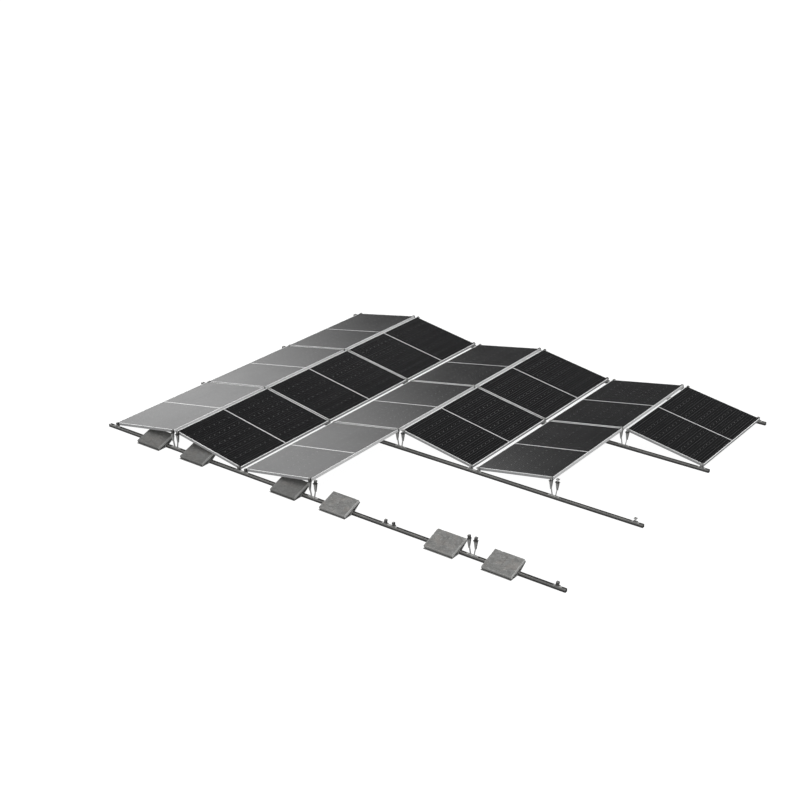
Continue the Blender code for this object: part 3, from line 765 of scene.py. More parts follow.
def sheet_outline(path, thickness):
    """Closed outline of a folded sheet: the path, and its offset to the left."""
    path = marked(path)
    points = [Vector(p[:2]) for p in path]
    offset = []
    for i, here in enumerate(points):
        before = (here - points[i - 1]).normalized() if i else None
        after = (points[i + 1] - here).normalized() if i + 1 < len(points) else None
        if before is None or after is None:
            run = after if before is None else before
            offset.append(here + Vector((-run.y, run.x)) * thickness)
            continue
        left = Vector((-before.y - after.y, before.x + after.x)).normalized()
        offset.append(here + left * (thickness / left.dot(Vector((-before.y, before.x)))))
    near = [(p.x, p.y, path[i][2] if i + 1 < len(points) else 0) for i, p in enumerate(points)]
    far = [
        (offset[i].x, offset[i].y, path[i - 1][2] if i else 0)
        for i in range(len(points) - 1, -1, -1)
    ]
    return near + far


def lathe(profile, sides=20, centre=(0.0, 0.0)):
    """Closed turned body. profile: (radius, z, hexagonal) from the lower end to the upper."""
    mesh = bmesh.new()
    edge = mesh.faces.layers.float.new("edge")
    rings = []
    for radius, z, hexagonal in profile:
        if radius == 0:
            rings.append([mesh.verts.new((centre[0], centre[1], z))])
            continue
        ring = []
        for i in range(sides):
            angle = 2 * math.pi * i / sides
            share = 1.0
            if hexagonal:
                share = math.cos(math.pi / 6) / math.cos(angle % (math.pi / 3) - math.pi / 6)
            ring.append(
                mesh.verts.new(
                    (
                        centre[0] + radius * share * math.cos(angle),
                        centre[1] + radius * share * math.sin(angle),
                        z,
                    )
                )
            )
        rings.append(ring)
    for low, high, one, two in zip(rings, rings[1:], profile, profile[1:]):
        short = math.hypot(one[0] - two[0], one[1] - two[1]) < 0.0009
        for i in range(sides):
            j = (i + 1) % sides
            if len(low) == 1:
                face = mesh.faces.new((low[0], high[j], high[i]))
            elif len(high) == 1:
                face = mesh.faces.new((low[i], low[j], high[0]))
            else:
                face = mesh.faces.new((low[i], low[j], high[j], high[i]))
            face.smooth = not (one[2] or two[2])
            face[edge] = 1.0 if short else 0.0
    bmesh.ops.recalc_face_normals(mesh, faces=mesh.faces)
    for e in mesh.edges:
        if len(e.link_faces) == 2 and e.calc_face_angle(0.0) > math.radians(35):
            e.smooth = False
    return mesh


def thread(low, high, radius, pitch=0.00125, depth=0.00055):
    """Profile of a threaded length, as rings."""
    made = [(radius - depth, low, False)]
    z = low + pitch / 2
    while z + pitch / 2 <= high:
        made.append((radius, z, False))
        made.append((radius - depth, z + pitch / 2, False))
        z += pitch
    made.append((radius - depth, high, False))
    return made


def cap_screw(x, y, low, seat):
    """Socket-head screw with a washer; seat is the face that the washer rests on."""
    top = seat + 0.0015
    profile = [(0.0, low, False), (0.0029, low, False)]
    profile += thread(low + 0.0007, seat - 0.0002, 0.0039)
    profile += [
        (0.0080, seat, False),
        (0.0083, seat + 0.0003, False),
        (0.0083, top - 0.0003, False),
        (0.0080, top, False),
        (0.0066, top + 0.0001, False),
        (0.0067, top + 0.0005, False),
        (0.0067, top + 0.0068, False),
        (0.0062, top + 0.0075, False),
        (0.0040, top + 0.0075, True),
        (0.0036, top + 0.0070, True),
        (0.0035, top + 0.0035, True),
        (0.0, top + 0.0028, False),
    ]
    return lathe(profile, 24, (x, y))


def hex_screw(x, y, low, seat):
    """Flanged hexagon screw."""
    profile = [
        (0.0, low, False),
        (0.0038, low, False),
        (0.0038, seat, False),
        (0.0082, seat, False),
        (0.0085, seat + 0.0004, False),
        (0.0082, seat + 0.0012, False),
        (0.0067, seat + 0.0018, False),
        (0.0065, seat + 0.0019, True),
        (0.0065, seat + 0.0058, True),
        (0.0058, seat + 0.0064, False),
        (0.0046, seat + 0.0064, False),
        (0.0040, seat + 0.0060, False),
        (0.0, seat + 0.0060, False),
    ]
    return lathe(profile, 24, (x, y))


def moved(mesh, matrix):
    bmesh.ops.transform(mesh, matrix=matrix, verts=mesh.verts)
    if matrix.determinant() < 0:
        bmesh.ops.reverse_faces(mesh, faces=mesh.faces)
    return mesh


def mirrored_x(mesh):
    return moved(mesh, Matrix.Scale(-1, 4, (1, 0, 0)))


def mirrored_y(mesh):
    return moved(mesh, Matrix.Scale(-1, 4, (0, 1, 0)))


def painted(mesh, index):
    for face in mesh.faces:
        face.material_index = index
    return mesh


def joined(pieces):
    """Several meshes in one, each still a closed shell."""
    whole = bmesh.new()
    whole.faces.layers.float.new("edge")
    for piece in pieces:
        data = bpy.data.meshes.new("part")
        piece.to_mesh(data)
        piece.free()
        whole.from_mesh(data)
        bpy.data.meshes.remove(data)
    return whole


def united(pieces):
    """One closed shell from overlapping ones."""
    helpers = []
    for piece in pieces:
        data = bpy.data.meshes.new("part")
        piece.to_mesh(data)
        piece.free()
        helper = bpy.data.objects.new("part", data)
        bpy.context.scene.collection.objects.link(helper)
        helpers.append(helper)
    base = helpers[0]
    for helper in helpers[1:]:
        join = base.modifiers.new("join", "BOOLEAN")
        join.operation = "UNION"
        join.solver = "EXACT"
        join.object = helper
    bpy.context.view_layer.update()
    graph = bpy.context.evaluated_depsgraph_get()
    whole = bmesh.new()
    whole.from_mesh(base.evaluated_get(graph).to_mesh())
    base.evaluated_get(graph).to_mesh_clear()
    bmesh.ops.remove_doubles(whole, verts=whole.verts, dist=1e-6)
    for helper in helpers:
        data = helper.data
        bpy.data.objects.remove(helper, do_unlink=True)
        bpy.data.meshes.remove(data)
    return whole


def finished(mesh, name, *materials):
    data = bpy.data.meshes.new(name)
    mesh.to_mesh(data)
    mesh.free()
    for material in materials:
        data.materials.append(material)
    return data


def put(name, data, location, rotation=(0.0, 0.0, 0.0), stands_for=()):
    """Places a piece, given in array coordinates, on the frame."""
    piece = bpy.data.objects.new(name, data)
    bpy.context.scene.collection.objects.link(piece)
    piece.location = OFFSET + Vector(location)
    piece.rotation_euler = rotation
    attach(piece, "root")
    if stands_for:
        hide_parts(*stands_for)
    return piece


# -------------------------------------------------------------------- rails
def rail_data():
    half, wall, top = RAIL_WIDTH / 2, RAIL_WALL, RAIL_HEIGHT
    slot, inner = RAIL_SLOT / 2, RAIL_WIDTH / 2 - RAIL_WALL
    shelf = RAIL_WEB_Z + wall
    # Right-hand half of the section, from the middle of the foot to the slot
    right = [
        ((half, 0.0), 0.0010),
        ((half, 0.0088), 0.0001),
        ((half - 0.0006, 0.0094), 0.0001),
        ((half, 0.0100), 0.0001),
        ((half, 0.0300), 0.0001),
        ((half - 0.0006, 0.0306), 0.0001),
        ((half, 0.0312), 0.0001),
        ((half, top), 0.0013),
        ((slot, top), 0.0006),
        ((slot, top - wall - 0.0014), 0.0004),
        ((slot + 0.0016, top - wall - 0.0014), 0.0004),
        ((slot + 0.0016, top - wall), 0.0004),
        ((inner, top - wall), 0.0010),
        ((inner, shelf), 0.0010),
    ]
    left = [((-point[0], point[1]), radius) for point, radius in reversed(right)]
    section = right + left
    outline = rounded([p for p, _ in section], [r for _, r in section])
    chamber = rounded(
        [(-inner, wall), (inner, wall), (inner, RAIL_WEB_Z), (-inner, RAIL_WEB_Z)], 0.0012
    )
    length = RAIL_X[1] - RAIL_X[0]
    return finished(along_x(outline, -length / 2, length / 2, [chamber]), "rail", RAIL)


# ------------------------------------------------------------------ modules
def frame_bars_data():
    """Four mitred bars with a groove for the laminate and a flange below."""
    mm = 0.001
    section = [
        (11.0, 33.92, 0),
        (11.0, 34.70, 1),
        (10.7, 35.00, 0),
        (0.90, 35.00, 1),
        (0.26, 34.74, 1),
        (0.00, 34.10, 0),
        (0.00, 24.0, 1),
        (0.25, 23.7, 1),
        (0.25, 23.3, 1),
        (0.00, 23.0, 0),
        (0.00, 0.80, 1),
        (0.25, 0.25, 1),
        (0.80, 0.00, 0),
        (27.5, 0.00, 1),
        (28.0, 0.50, 0),
        (28.0, 1.50, 1),
        (27.5, 2.00, 0),
        (3.00, 2.00, 1),
        (2.00, 3.00, 0),
        (2.00, 14.0, 0),
        (10.0, 16.5, 0),
        (10.0, 28.4, 0),
        (3.0, 28.4, 0),
        (3.0, 33.92, 0),
    ]
    bars = []
    for side in range(4):
        across = side % 2 == 0  # a short bar, along X
        half_run = (MODULE_WIDTH if across else MODULE_LENGTH) / 2
        half_away = (MODULE_LENGTH if across else MODULE_WIDTH) / 2
        sign = 1 if side < 2 else -1
        mesh = bmesh.new()
        edge = mesh.faces.layers.float.new("edge")
        ends = []
        for end in (-1, 1):
            ring = []
            for inset, z, _ in section:
                run = end * (half_run - inset * mm - MITRE_GAP)
                away = sign * (half_away - inset * mm)
                point = (run, away, z * mm) if across else (away, run, z * mm)
                ring.append(mesh.verts.new(point))
            ends.append(ring)
        count = len(section)
        for i in range(count):
            j = (i + 1) % count
            face = mesh.faces.new((ends[0][i], ends[0][j], ends[1][j], ends[1][i]))
            if section[i][2]:
                face.smooth = True
                face[edge] = 1.0
        caps = tessellate_polygon([[Vector((p[0], p[1], 0)) for p in section]])
        for cap in caps:
            mesh.faces.new([ends[0][k] for k in cap])
            mesh.faces.new([ends[1][k] for k in reversed(cap)])
        bmesh.ops.recalc_face_normals(mesh, faces=mesh.faces)
        bars.append(painted(mesh, 1 if across else 0))
    return finished(joined(bars), "module_frame", FRAME_LONG, FRAME_SHORT)


def laminate_data():
    x, y = MODULE_WIDTH / 2 - 0.0034, MODULE_LENGTH / 2 - 0.0034
    mesh = softened(
        along_z(rounded(rectangle((-x, x), (-y, y)), 0.002), GLASS_BOTTOM, GLASS_TOP), 0.0004, 1
    )
    for face in mesh.faces:
        face.material_index = 1 if face.normal.z < -0.5 else 0
    return finished(mesh, "module_laminate", CELLS, BACKSHEET)


def boxes_data():
    """Three split junction boxes under the laminate, each with a lid and cable glands."""
    pieces = []
    top = GLASS_BOTTOM - 0.0001
    for share in (-0.34, 0.0, 0.34):
        x = share * MODULE_WIDTH
        body = along_z(
            rounded(rectangle((x - 0.036, x + 0.036), (-0.026, 0.026)), 0.006, 4), top - 0.0135, top
        )
        pieces.append(softened(body, 0.0010))
        lid = along_z(
            rounded(rectangle((x - 0.030, x + 0.030), (-0.020, 0.020)), 0.004, 4),
            top - 0.0150,
            top - 0.0130,
        )
        pieces.append(softened(lid, 0.0004))
        for rib in (-0.018, -0.009, 0.0, 0.009, 0.018):
            bar = along_z(
                rounded(rectangle((x + rib - 0.0012, x + rib + 0.0012), (-0.014, 0.014)), 0.001, 3),
                top - 0.0158,
                top - 0.0148,
            )
            pieces.append(softened(bar, 0.0003, 1))
        for sx, sy in ((-1, -1), (1, 1)):
            gland = lathe(
                [
                    (0.0, 0.0, False),
                    (0.0050, 0.0, False),
                    (0.0050, 0.0040, False),
                    (0.0044, 0.0044, False),
                    (0.0044, 0.0110, False),
                    (0.0036, 0.0120, False),
                    (0.0022, 0.0120, False),
                    (0.0020, 0.0080, False),
                    (0.0, 0.0080, False),
                ],
                18,
            )
            turn = Matrix.Rotation(math.radians(-90 * sy), 4, "X")
            place = Matrix.Translation((x + sx * 0.022, sy * 0.0250, top - 0.0068))
            pieces.append(moved(gland, place @ turn))
    return finished(joined(pieces), "junction_boxes", BOX_PLASTIC)


# ----------------------------------------------------------------- supports
def high_frame():
    corner = Vector(
        (
            RIDGE_GAP / 2 - FRAME_HEIGHT * math.sin(TILT),
            0.0,
            HIGH_EDGE_TOP - FRAME_HEIGHT * math.cos(TILT),
        )
    )
    return Matrix.Translation(corner) @ Matrix.Rotation(TILT, 4, "Y")


def low_frame():
    corner = Vector(
        (FRAME_HEIGHT * math.sin(TILT), 0.0, LOW_EDGE_TOP - FRAME_HEIGHT * math.cos(TILT))
    )
    return Matrix.Translation(corner) @ Matrix.Rotation(-TILT, 4, "Y")


def clamp(kind, centre, seat):
    """Module clamp and its screw, in module coordinates."""
    x = (centre - CLAMP_LENGTH / 2, centre + CLAMP_LENGTH / 2)
    low = seat - 0.0012
    under = FRAME_HEIGHT + FIT
    if kind == "mid":
        reach = MODULE_GAP / 2 + CLAMP_GRIP
        top = under + CLAMP_PLATE
        right = [
            (0.0085, top - 0.0012),
            (0.0105, top),
            (0.0128, top),
            (0.0133, top - 0.0006),
            (0.0138, top),
            (0.0158, top),
            (0.0163, top - 0.0006),
            (0.0168, top),
            (reach - 0.0004, top - 0.0004),
            (reach, top - 0.0016),
            (reach, under + 0.0006),
            (reach - 0.0006, under),
            (0.0118, under),
            (0.0118, under - 0.0070),
            (0.0096, under - 0.0070),
            (0.0096, under),
        ]
        outline = right + [(-a, b) for a, b in reversed(right)]
        body = softened(along_x(rounded(outline, 0.0003, 2), *x), 0.0005)
        return [body, painted(cap_screw(centre, 0.0, low, top - 0.0010), 1)]
    near = MODULE_GAP / 2 - 0.0006
    far = near - CLAMP_DEPTH
    grip = MODULE_GAP / 2 + CLAMP_GRIP
    foot = seat - 0.0001
    top = under + CLAMP_WALL
    hat = [
        ((grip, top - 0.0004), 0.0004),
        ((grip, under), 0.0005),
        ((near, under), 0.0003),
        ((near, foot), 0.0004),
        ((near - CLAMP_WALL, foot), 0.0004),
        ((near - CLAMP_WALL, under), 0.0012),
        ((far + CLAMP_WALL, under), 0.0012),
        ((far + CLAMP_WALL, foot), 0.0004),
        ((far, foot), 0.0004),
        ((far, top), 0.0018),
        ((near + 0.0026, top), 0.0001),
        ((near + 0.0031, top - 0.0005), 0.0001),
        ((near + 0.0036, top), 0.0001),
        ((near + 0.0056, top), 0.0001),
        ((near + 0.0061, top - 0.0005), 0.0001),
        ((near + 0.0066, top), 0.0001),
        ((grip - 0.0006, top), 0.0003),
    ]
    body = softened(along_x(rounded([p for p, _ in hat], [r for _, r in hat], 3), *x), 0.0005)
    pieces = [body, painted(cap_screw(centre, (near + far) / 2, low, top), 1)]
    if kind == "back":
        pieces = [mirrored_y(piece) for piece in pieces]
    return pieces


def base_plate(x):
    low = RAIL_HEIGHT + FIT
    outline = rounded(rectangle(x, (-BASE_HALF_WIDTH, BASE_HALF_WIDTH)), 0.0045, 4)
    return softened(along_z(outline, low, low + BASE_THICKNESS), 0.0006)


def fixing(x):
    seat = RAIL_HEIGHT + FIT + BASE_THICKNESS
    return painted(hex_screw(x, 0.0, seat - 0.002, seat), 1)


def ridge_body_data():
    """Base plate, two bent legs with flared side plates, and a sloping head on each."""
    frame_of_head = high_frame()
    seat = -FIT
    local = [(u - frame_of_head.translation.x) / math.cos(TILT) for u in (HEAD_INNER, HEAD_OUTER)]
    centre = sum(local) / 2
    half = []
    head = along_z(
        rounded(rectangle(local, (-HEAD_HALF_WIDTH, HEAD_HALF_WIDTH)), 0.004, 4),
        seat - HEAD_THICKNESS,
        seat,
    )
    half.append(painted(moved(softened(head, 0.0006), frame_of_head), 3))
    for sign in (-1, 1):
        y = (sign * (HEAD_HALF_WIDTH - 0.0028), sign * (HEAD_HALF_WIDTH - 0.0004))
        flange = along_y(
            rounded(
                [
                    (local[0] + 0.004, seat - 0.0015),
                    (local[1] - 0.004, seat - 0.0015),
                    (local[1] - 0.008, seat - 0.0095),
                    (local[0] + 0.008, seat - 0.0095),
                ],
                [0.0, 0.0, 0.003, 0.003],
                4,
            ),
            min(y),
            max(y),
        )
        half.append(painted(moved(softened(flange, 0.0005), frame_of_head), 3))
    top = frame_of_head @ Vector((centre, 0.0, seat - HEAD_THICKNESS / 2))
    path = rounded(
        [(LEG_FOOT[0] + 0.024, LEG_FOOT[1]), LEG_FOOT, LEG_KNEE, (top.x - 0.0015, top.z)],
        [0.0, 0.0045, 0.030, 0.0],
        5,
        closed=False,
    )
    leg = along_y(sheet_outline(path, -LEG_THICKNESS), -LEG_HALF_WIDTH, LEG_HALF_WIDTH)
    half.append(painted(softened(leg, 0.0005), 2))
    # A pressed bead stiffens the leg
    run = Vector((LEG_KNEE[0] - LEG_FOOT[0], LEG_KNEE[1] - LEG_FOOT[1])).normalized()
    across = Vector((run.y, -run.x))
    start = Vector(LEG_FOOT) + run * 0.016 + across * (LEG_THICKNESS - 0.0006)
    stop = Vector(LEG_FOOT) + run * 0.080 + across * (LEG_THICKNESS - 0.0006)
    bead = [
        start,
        start + run * 0.003 + across * 0.0022,
        stop - run * 0.003 + across * 0.0022,
        stop,
    ]
    rib = along_y(rounded([tuple(p) for p in bead], [0, 0.002, 0.002, 0], 3), -0.0035, 0.0035)
    half.append(painted(softened(rib, 0.0009), 2))
    ends = [frame_of_head @ Vector((x, 0.0, seat - HEAD_THICKNESS / 2)) for x in local]
    gusset = [
        (ends[0].x + 0.003, ends[0].z),
        (ends[0].x + 0.003, ends[0].z - 0.014),
        (LEG_KNEE[0] - 0.003, LEG_KNEE[1] - 0.030),
        (LEG_KNEE[0] + 0.006, LEG_KNEE[1] - 0.030),
        (ends[1].x - 0.003, ends[1].z - 0.014),
        (ends[1].x - 0.003, ends[1].z),
    ]
    outer = LEG_HALF_WIDTH + 0.0004
    for low, high in ((-outer, -outer + GUSSET_THICKNESS), (outer - GUSSET_THICKNESS, outer)):
        plate = along_y(rounded(gusset, [0, 0.010, 0.003, 0.003, 0.010, 0], 4), low, high)
        half.append(softened(plate, 0.0004))
    other = [mirrored_x(piece.copy()) for piece in half]
    body = united([painted(base_plate((-RIDGE_BASE_HALF, RIDGE_BASE_HALF)), 4)] + half + other)
    return finished(
        joined([body, fixing(-0.060), fixing(0.060)]), "ridge_support", SUPPORT, STEEL, LEG, DARK, BASE
    )


def low_seat():
    """Extruded wedge with a hollow, for a row that rises towards +X from x = 0."""
    place = low_frame()
    seat = -FIT
    inner = place @ Vector((SEAT_INNER, 0.0, seat))
    outer = place @ Vector((SEAT_OUTER, 0.0, seat))
    low = RAIL_HEIGHT + FIT
    wedge = rounded(
        [(inner.x, low), (outer.x, low), (outer.x, outer.z), (inner.x, inner.z)],
        [0.0006, 0.0006, 0.0010, 0.0008],
    )
    slope = (outer.z - inner.z) / (outer.x - inner.x)
    x0, x1 = inner.x + 0.022, outer.x - 0.0024
    floor_z = low + 0.0038
    hollow = rounded(
        [
            (x0, floor_z),
            (x1, floor_z),
            (x1, inner.z + slope * (x1 - inner.x) - 0.0024),
            (x0, inner.z + slope * (x0 - inner.x) - 0.0024),
        ],
        0.0007,
    )
    return softened(along_y(wedge, -SEAT_HALF_WIDTH, SEAT_HALF_WIDTH, [hollow]), 0.0003, 1)


def end_body_data(side):
    body = united([painted(base_plate((-0.030, 0.072)), 2), low_seat()])
    whole = joined([body, fixing(-0.018)])
    if side == "right":
        whole = mirrored_x(whole)
    return finished(whole, f"end_support_{side}", SUPPORT, STEEL, BASE)


def valley_body_data():
    half = VALLEY_GAP / 2
    right = moved(low_seat(), Matrix.Translation((half, 0, 0)))
    left = mirrored_x(right.copy())
    body = united([painted(base_plate((-half - 0.072, half + 0.072)), 2), right, left])
    return finished(joined([body, fixing(0.0)]), "valley_support", SUPPORT, STEEL, BASE)


def ridge_clamps_data(kind):
    right = joined([moved(p, high_frame()) for p in clamp(kind, CLAMP_FROM_EDGE, -FIT)])
    return finished(joined([mirrored_x(right.copy()), right]), f"ridge_clamps_{kind}", CLAMP_FINISH[kind], STEEL)


def valley_clamps_data(kind):
    place = Matrix.Translation((VALLEY_GAP / 2, 0, 0)) @ low_frame()
    right = joined([moved(p, place) for p in clamp(kind, CLAMP_FROM_EDGE, -FIT)])
    return finished(joined([mirrored_x(right.copy()), right]), f"valley_clamps_{kind}", CLAMP_FINISH[kind], STEEL)


def end_clamp_data(kind, side):
    one = joined([moved(p, low_frame()) for p in clamp(kind, CLAMP_FROM_EDGE, -FIT)])
    if side == "right":
        one = mirrored_x(one)
    return finished(one, f"end_clamp_{kind}_{side}", CLAMP_FINISH[kind], STEEL)


# ------------------------------------------------------------------ ballast
def stops(half, fine, step):
    """Grid positions from -half to half, closer together near both ends."""
    count = max(2, round((2 * half - 2 * fine[-1]) / step))
    inner = half - fine[-1]
    middle = [-inner + 2 * inner * i / count for i in range(1, count)]
    ends = [half - f for f in fine]
    return [-e for e in ends] + middle + ends[::-1]


def slab_data(number):
    """Cast slab with rounded arrises, small chips along them and an uneven skin."""
    half = Vector((SLAB_LENGTH / 2, SLAB_DEPTH / 2, SLAB_THICKNESS / 2))
    radius = 0.0048
    fine = [0.0, 0.0012, 0.0024, 0.0036, radius]
    grid = [stops(h, fine, 0.006) for h in half]
    seed = Vector((number * 7.31, number * 3.17, number * 11.9))
    mesh = bmesh.new()
    mesh.faces.layers.float.new("edge")
    arris_wear_and_highlight = mesh.verts.layers.float.new("wear_and_highlight")
    verts = {}

    def vertex(p):
        key = (round(p.x, 6), round(p.y, 6), round(p.z, 6))
        if key in verts:
            return verts[key]
        core = Vector([max(-h + radius, min(h - radius, c)) for h, c in zip(half, p)])
        out = p - core
        away = out.normalized() if out.length > 1e-9 else Vector((0, 0, 1))
        # Between a chamfer and a round
        size = radius * (0.86 + 0.14 * max(abs(away.x), abs(away.y), abs(away.z)))
        on_skin = core + away * size
        near = sorted(h - abs(c) for h, c in zip(half, p))
        to_arris = math.hypot(near[0], near[1])
        closeness = max(0.0, 1.0 - to_arris / 0.016)
        skin = noise.fractal(p * 26.0 + seed, 1.0, 2.0, 4)
        chip = noise.fractal(p * 34.0 + seed * 1.7, 0.9, 2.1, 4)
        chip_size = max(0.0, chip - 0.12) * closeness ** 1.5
        inward = 0.00015 + 0.00028 * (0.5 + 0.5 * max(-1, min(1, skin))) + min(0.0036, 0.012 * chip_size)
        made = mesh.verts.new(on_skin - away * inward + Vector((0, 0, half.z)))
        # Lightness for the arrises and chips: partly wear, partly painted highlight
        made[arris_wear_and_highlight] = min(1.0, closeness ** 2 * 0.55 + 3.0 * chip_size)
        verts[key] = made
        return made

    for axis in range(3):
        u, v = [(1, 2), (2, 0), (0, 1)][axis]
        for sign in (-1, 1):
            for i in range(len(grid[u]) - 1):
                for j in range(len(grid[v]) - 1):
                    corner = []
                    for a, b in ((i, j), (i + 1, j), (i + 1, j + 1), (i, j + 1)):
                        p = Vector((0, 0, 0))
                        p[axis] = sign * half[axis]
                        p[u] = grid[u][a]
                        p[v] = grid[v][b]
                        corner.append(vertex(p))
                    if sign < 0:
                        corner.reverse()
                    if len(set(corner)) == 4:
                        mesh.faces.new(corner).smooth = True
    mesh.normal_update()
    data = bpy.data.meshes.new(f"ballast_slab_{number}")
    values = [v[arris_wear_and_highlight] for v in mesh.verts]
    flanks = []
    for v in mesh.verts:
        flat = max(abs(v.normal.x), abs(v.normal.y))
        below = 1.0 if v.normal.z < -0.5 else 0.0
        flanks.append(min(1.0, max(below, (flat - 0.55) / 0.3)) if flat > 0.55 or below else 0.0)
    mesh.faces.layers.float.remove(mesh.faces.layers.float["edge"])
    mesh.verts.layers.float.remove(arris_wear_and_highlight)
    mesh.to_mesh(data)
    mesh.free()
    # Painted shade on the slabs under the modules, lighter towards the end that lies higher
    under_module_shade = [1.0 - 0.55 * (v.co.y / SLAB_DEPTH + 0.5) if number <= 3 else 0.0 for v in data.vertices]
    for name, numbers in (("edge", values), ("flank", flanks), ("under_module_shade", under_module_shade)):
        layer = data.attributes.new(name, "FLOAT", "POINT")
        layer.data.foreach_set("value", numbers)
    data.materials.append(CONCRETE)
    return data


def tray_data():
    """Floor in front, saddle over the rail, ramp behind it, folded with real radii."""
    t = TRAY_SHEET
    lean = Vector((math.cos(SLAB_LEAN), math.sin(SLAB_LEAN)))
    up = Vector((-math.sin(SLAB_LEAN), math.cos(SLAB_LEAN)))
    front_y = -SLAB_DEPTH / 2 * math.cos(SLAB_LEAN)
    corner = Vector((front_y, t + FIT)) + lean * SLAB_DEPTH
    lip_foot = corner + lean * (2 * FIT) - up * (2 * FIT)
    lip_top = lip_foot + up * TRAY_LIP
    front = front_y - SLAB_THICKNESS * math.sin(SLAB_LEAN) - 2 * FIT
    path = [
        (front, TRAY_LIP),
        (front, t),
        (-SADDLE_HALF, t),
        (-SADDLE_HALF, SADDLE_TOP),
        (SADDLE_HALF, SADDLE_TOP),
        (SADDLE_HALF, TRAY_RAMP_FOOT + t),
        (lip_foot.x, lip_foot.y),
        (lip_top.x, lip_top.y),
    ]
    bends = rounded(path, [0, 0.0012, 0.0012, 0.0032, 0.0032, 0.0012, 0.0012, 0], 4, closed=False)
    mesh = along_x(sheet_outline(bends, -t), -SLAB_LENGTH / 2, SLAB_LENGTH / 2)
    return finished(softened(mesh, 0.0004, 1), "ballast_tray", TRAY)


# ----------------------------------------------------------------- assembly
rail = rail_data()
for number, rail_y in enumerate(RAIL_Y, 1):
    put(
        f"rail_{number}_extrusion",
        rail,
        (sum(RAIL_X) / 2, rail_y, 0.0),
        stands_for=[f"rail_{number}"],
    )

KINDS = ["front"] + ["mid"] * (COLUMNS - 1) + ["back"]
ridge_body, valley_body = ridge_body_data(), valley_body_data()
end_body = {side: end_body_data(side) for side in ("left", "right")}
ridge_clamps = {kind: ridge_clamps_data(kind) for kind in ("front", "mid", "back")}
valley_clamps = {kind: valley_clamps_data(kind) for kind in ("front", "mid", "back")}
end_clamps = {
    (kind, side): end_clamp_data(kind, side)
    for kind in ("front", "mid", "back")
    for side in ("left", "right")
}
for number, (kind, rail_y) in enumerate(zip(KINDS, RAIL_Y), 1):
    for ridge, x in enumerate(RIDGE_X, 1):
        node = f"ridge_support_{number}_{ridge}"
        put(f"{node}_bracket", ridge_body, (x, rail_y, 0.0), stands_for=[node])
        put(f"{node}_clamps", ridge_clamps[kind], (x, rail_y, 0.0))
    for valley, x in enumerate(VALLEY_X, 1):
        node = f"valley_support_{number}_{valley}"
        put(f"{node}_bracket", valley_body, (x, rail_y, 0.0), stands_for=[node])
        put(f"{node}_clamps", valley_clamps[kind], (x, rail_y, 0.0))
    for side, x in (("left", 0.0), ("right", RIGHT_X)):
        node = f"end_support_{number}_{side}"
        put(f"{node}_bracket", end_body[side], (x, rail_y, 0.0), stands_for=[node])
        put(f"{node}_clamp", end_clamps[kind, side], (x, rail_y, 0.0))

bars, laminate, boxes = frame_bars_data(), laminate_data(), boxes_data()
for row, first in FIRST_COLUMN.items():
    order = "abcdef".index(row)
    bay = order // 2
    rising = order % 2 == 0
    sign = 1 if rising else -1
    low_x = bay * BAY_PITCH if rising else bay * BAY_PITCH + 2 * SLOPE_X + RIDGE_GAP
    normal = Vector((-sign * math.sin(TILT), 0.0, math.cos(TILT)))
    middle = Vector((low_x + sign * SLOPE_X / 2, 0.0, (LOW_EDGE_TOP + HIGH_EDGE_TOP) / 2))
    under = middle - normal * FRAME_HEIGHT
    for column in range(first, COLUMNS + 1):
        place = (under.x, (column - 1) * COLUMN_PITCH + MODULE_LENGTH / 2, under.z)
        turn = (0.0, -sign * TILT, 0.0)
        node = f"module_{row}{column}"
        put(f"{node}_frame", bars, place, turn)
        put(f"{node}_laminate", laminate, place, turn, stands_for=[node])
        put(f"{node}_junction_boxes", boxes, place, turn)

tray = tray_data()
half_up = Vector((0.0, math.cos(SLAB_LEAN), math.sin(SLAB_LEAN))) * (SLAB_DEPTH / 2)
slab_y = RAIL_Y[0] - SLAB_DEPTH / 2 * math.cos(SLAB_LEAN) + half_up.y
slab_z = TRAY_SHEET + FIT + half_up.z
number = 0
for x in RIDGE_X:
    for slab_x in (x - SLAB_LEFT_OF_RIDGE, x + SLAB_RIGHT_OF_RIDGE):
        number += 1
        put(
            f"ballast_slab_{number}_cast",
            slab_data(number),
            (slab_x, slab_y, slab_z),
            (SLAB_LEAN, 0.0, 0.0),
            stands_for=[f"ballast_slab_{number}"],
        )
        put(
            f"ballast_tray_{number}_sheet",
            tray,
            (slab_x, RAIL_Y[0], 0.0),
            stands_for=[f"ballast_tray_{number}"],
        )


# ------------------------------------------------------------------- studio
floor_mesh = bpy.data.meshes.new("floor")
reach = 190.0
floor_mesh.from_pydata(
    [(-reach, -reach, -0.0008), (reach, -reach, -0.0008), (reach, reach, -0.0008), (-reach, reach, -0.0008)],
    [],
    [(0, 1, 2, 3)],
)
floor_mesh.materials.append(floor_material())
floor = bpy.data.objects.new("floor", floor_mesh)
bpy.context.scene.collection.objects.link(floor)
floor.visible_diffuse = False
floor.visible_glossy = False
floor.visible_shadow = False

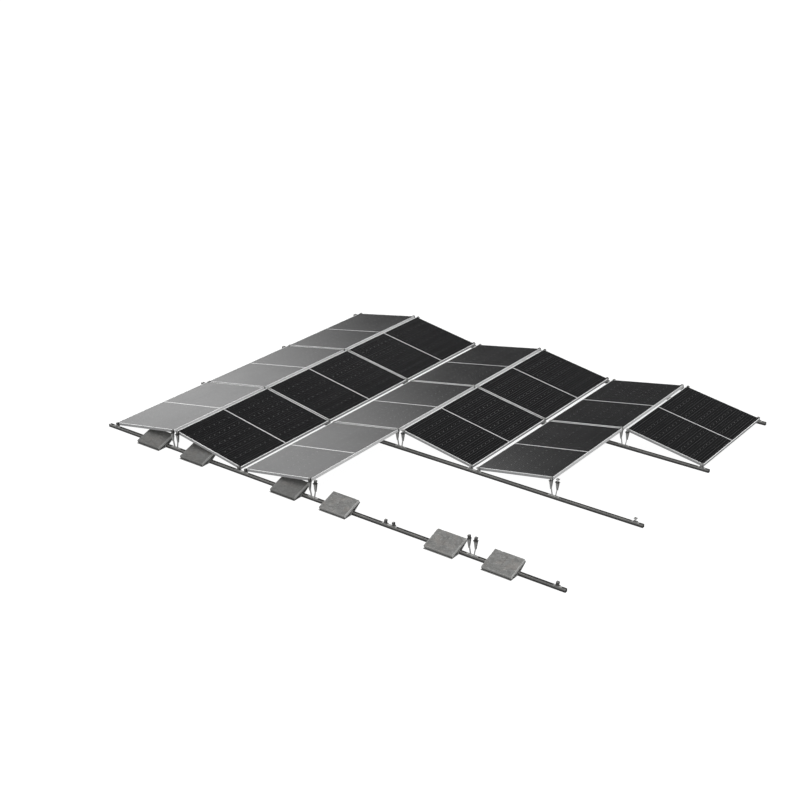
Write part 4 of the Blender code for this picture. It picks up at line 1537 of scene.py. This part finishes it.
# Soft light from above and from the left; plain white behind everything
world = bpy.data.worlds.new("studio")
bpy.context.scene.world = world
world.use_nodes = True
net = Net(world.node_tree)
dx, dy, dz = net.split(net.coordinates("Generated"))
elevation = net.mul(net.math("ARCSINE", dz), 57.29578)
azimuth = net.mul(net.math("ARCTAN2", dx, dy), 57.29578)
turn_left = net.add(net.mul(azimuth, -1.0), net.mul(net.sub(elevation, 8.0), 0.65))
left_box = net.mul(net.spread(turn_left, 40.5, 51.5), net.spread(turn_left, 175.0, 140.0))
left_box = net.mul(left_box, net.spread(elevation, 36.0, 14.0))
left_box = net.mul(net.mul(left_box, net.spread(elevation, -14.0, -2.0)), 1.42)
overhead = net.mul(net.spread(elevation, 46.0, 66.0), 2.35)
towards_front = net.mul(net.spread(dy, 0.25, -0.60), 0.36)
from_right = net.mul(net.mul(net.spread(dx, 0.30, 0.90), net.spread(elevation, 55.0, 15.0)), 0.48)
bounce = net.mul(net.spread(elevation, 2.0, -12.0), 0.12)
light = net.add(net.add(net.add(left_box, overhead), net.add(towards_front, from_right)), net.add(bounce, 0.10))
studio = net.node("ShaderNodeBackground")
studio.inputs["Color"].default_value = (1.0, 1.0, 1.0, 1.0)
net.link(light, studio.inputs["Strength"])
plain = net.node("ShaderNodeBackground")
plain.inputs["Color"].default_value = (1.0, 1.0, 1.0, 1.0)
plain.inputs["Strength"].default_value = 1.05
choose = net.node("ShaderNodeMixShader")
net.link(net.node("ShaderNodeLightPath").outputs["Is Camera Ray"], choose.inputs[0])
net.link(studio.outputs[0], choose.inputs[1])
net.link(plain.outputs[0], choose.inputs[2])
out = net.node("ShaderNodeOutputWorld")
net.link(choose.outputs[0], out.inputs["Surface"])

# Camera at the photograph's angle
CAMERA_AZIMUTH = math.radians(35.8192)
CAMERA_ELEVATION = math.radians(24.0160)
camera_data = bpy.data.cameras.new("camera")
camera_data.sensor_fit = "AUTO"
camera_data.sensor_width = 36.0
camera_data.lens = 61.6125
camera_data.shift_x = -0.0527
camera_data.shift_y = 0.0
camera_data.clip_start = 0.1
camera_data.clip_end = 400.0
camera = bpy.data.objects.new("camera", camera_data)
bpy.context.scene.collection.objects.link(camera)
back = Vector(
    (
        math.sin(CAMERA_AZIMUTH) * math.cos(CAMERA_ELEVATION),
        -math.cos(CAMERA_AZIMUTH) * math.cos(CAMERA_ELEVATION),
        math.sin(CAMERA_ELEVATION),
    )
)
camera.location = (9.9188, -13.5842, 7.9003)
camera.rotation_euler = back.to_track_quat("Z", "Y").to_euler()
bpy.context.scene.camera = camera

bpy.context.scene.view_settings.view_transform = "Standard"
bpy.context.scene.view_settings.look = "None"
bpy.context.scene.view_settings.exposure = 0.0
bpy.context.scene.view_settings.gamma = 1.0
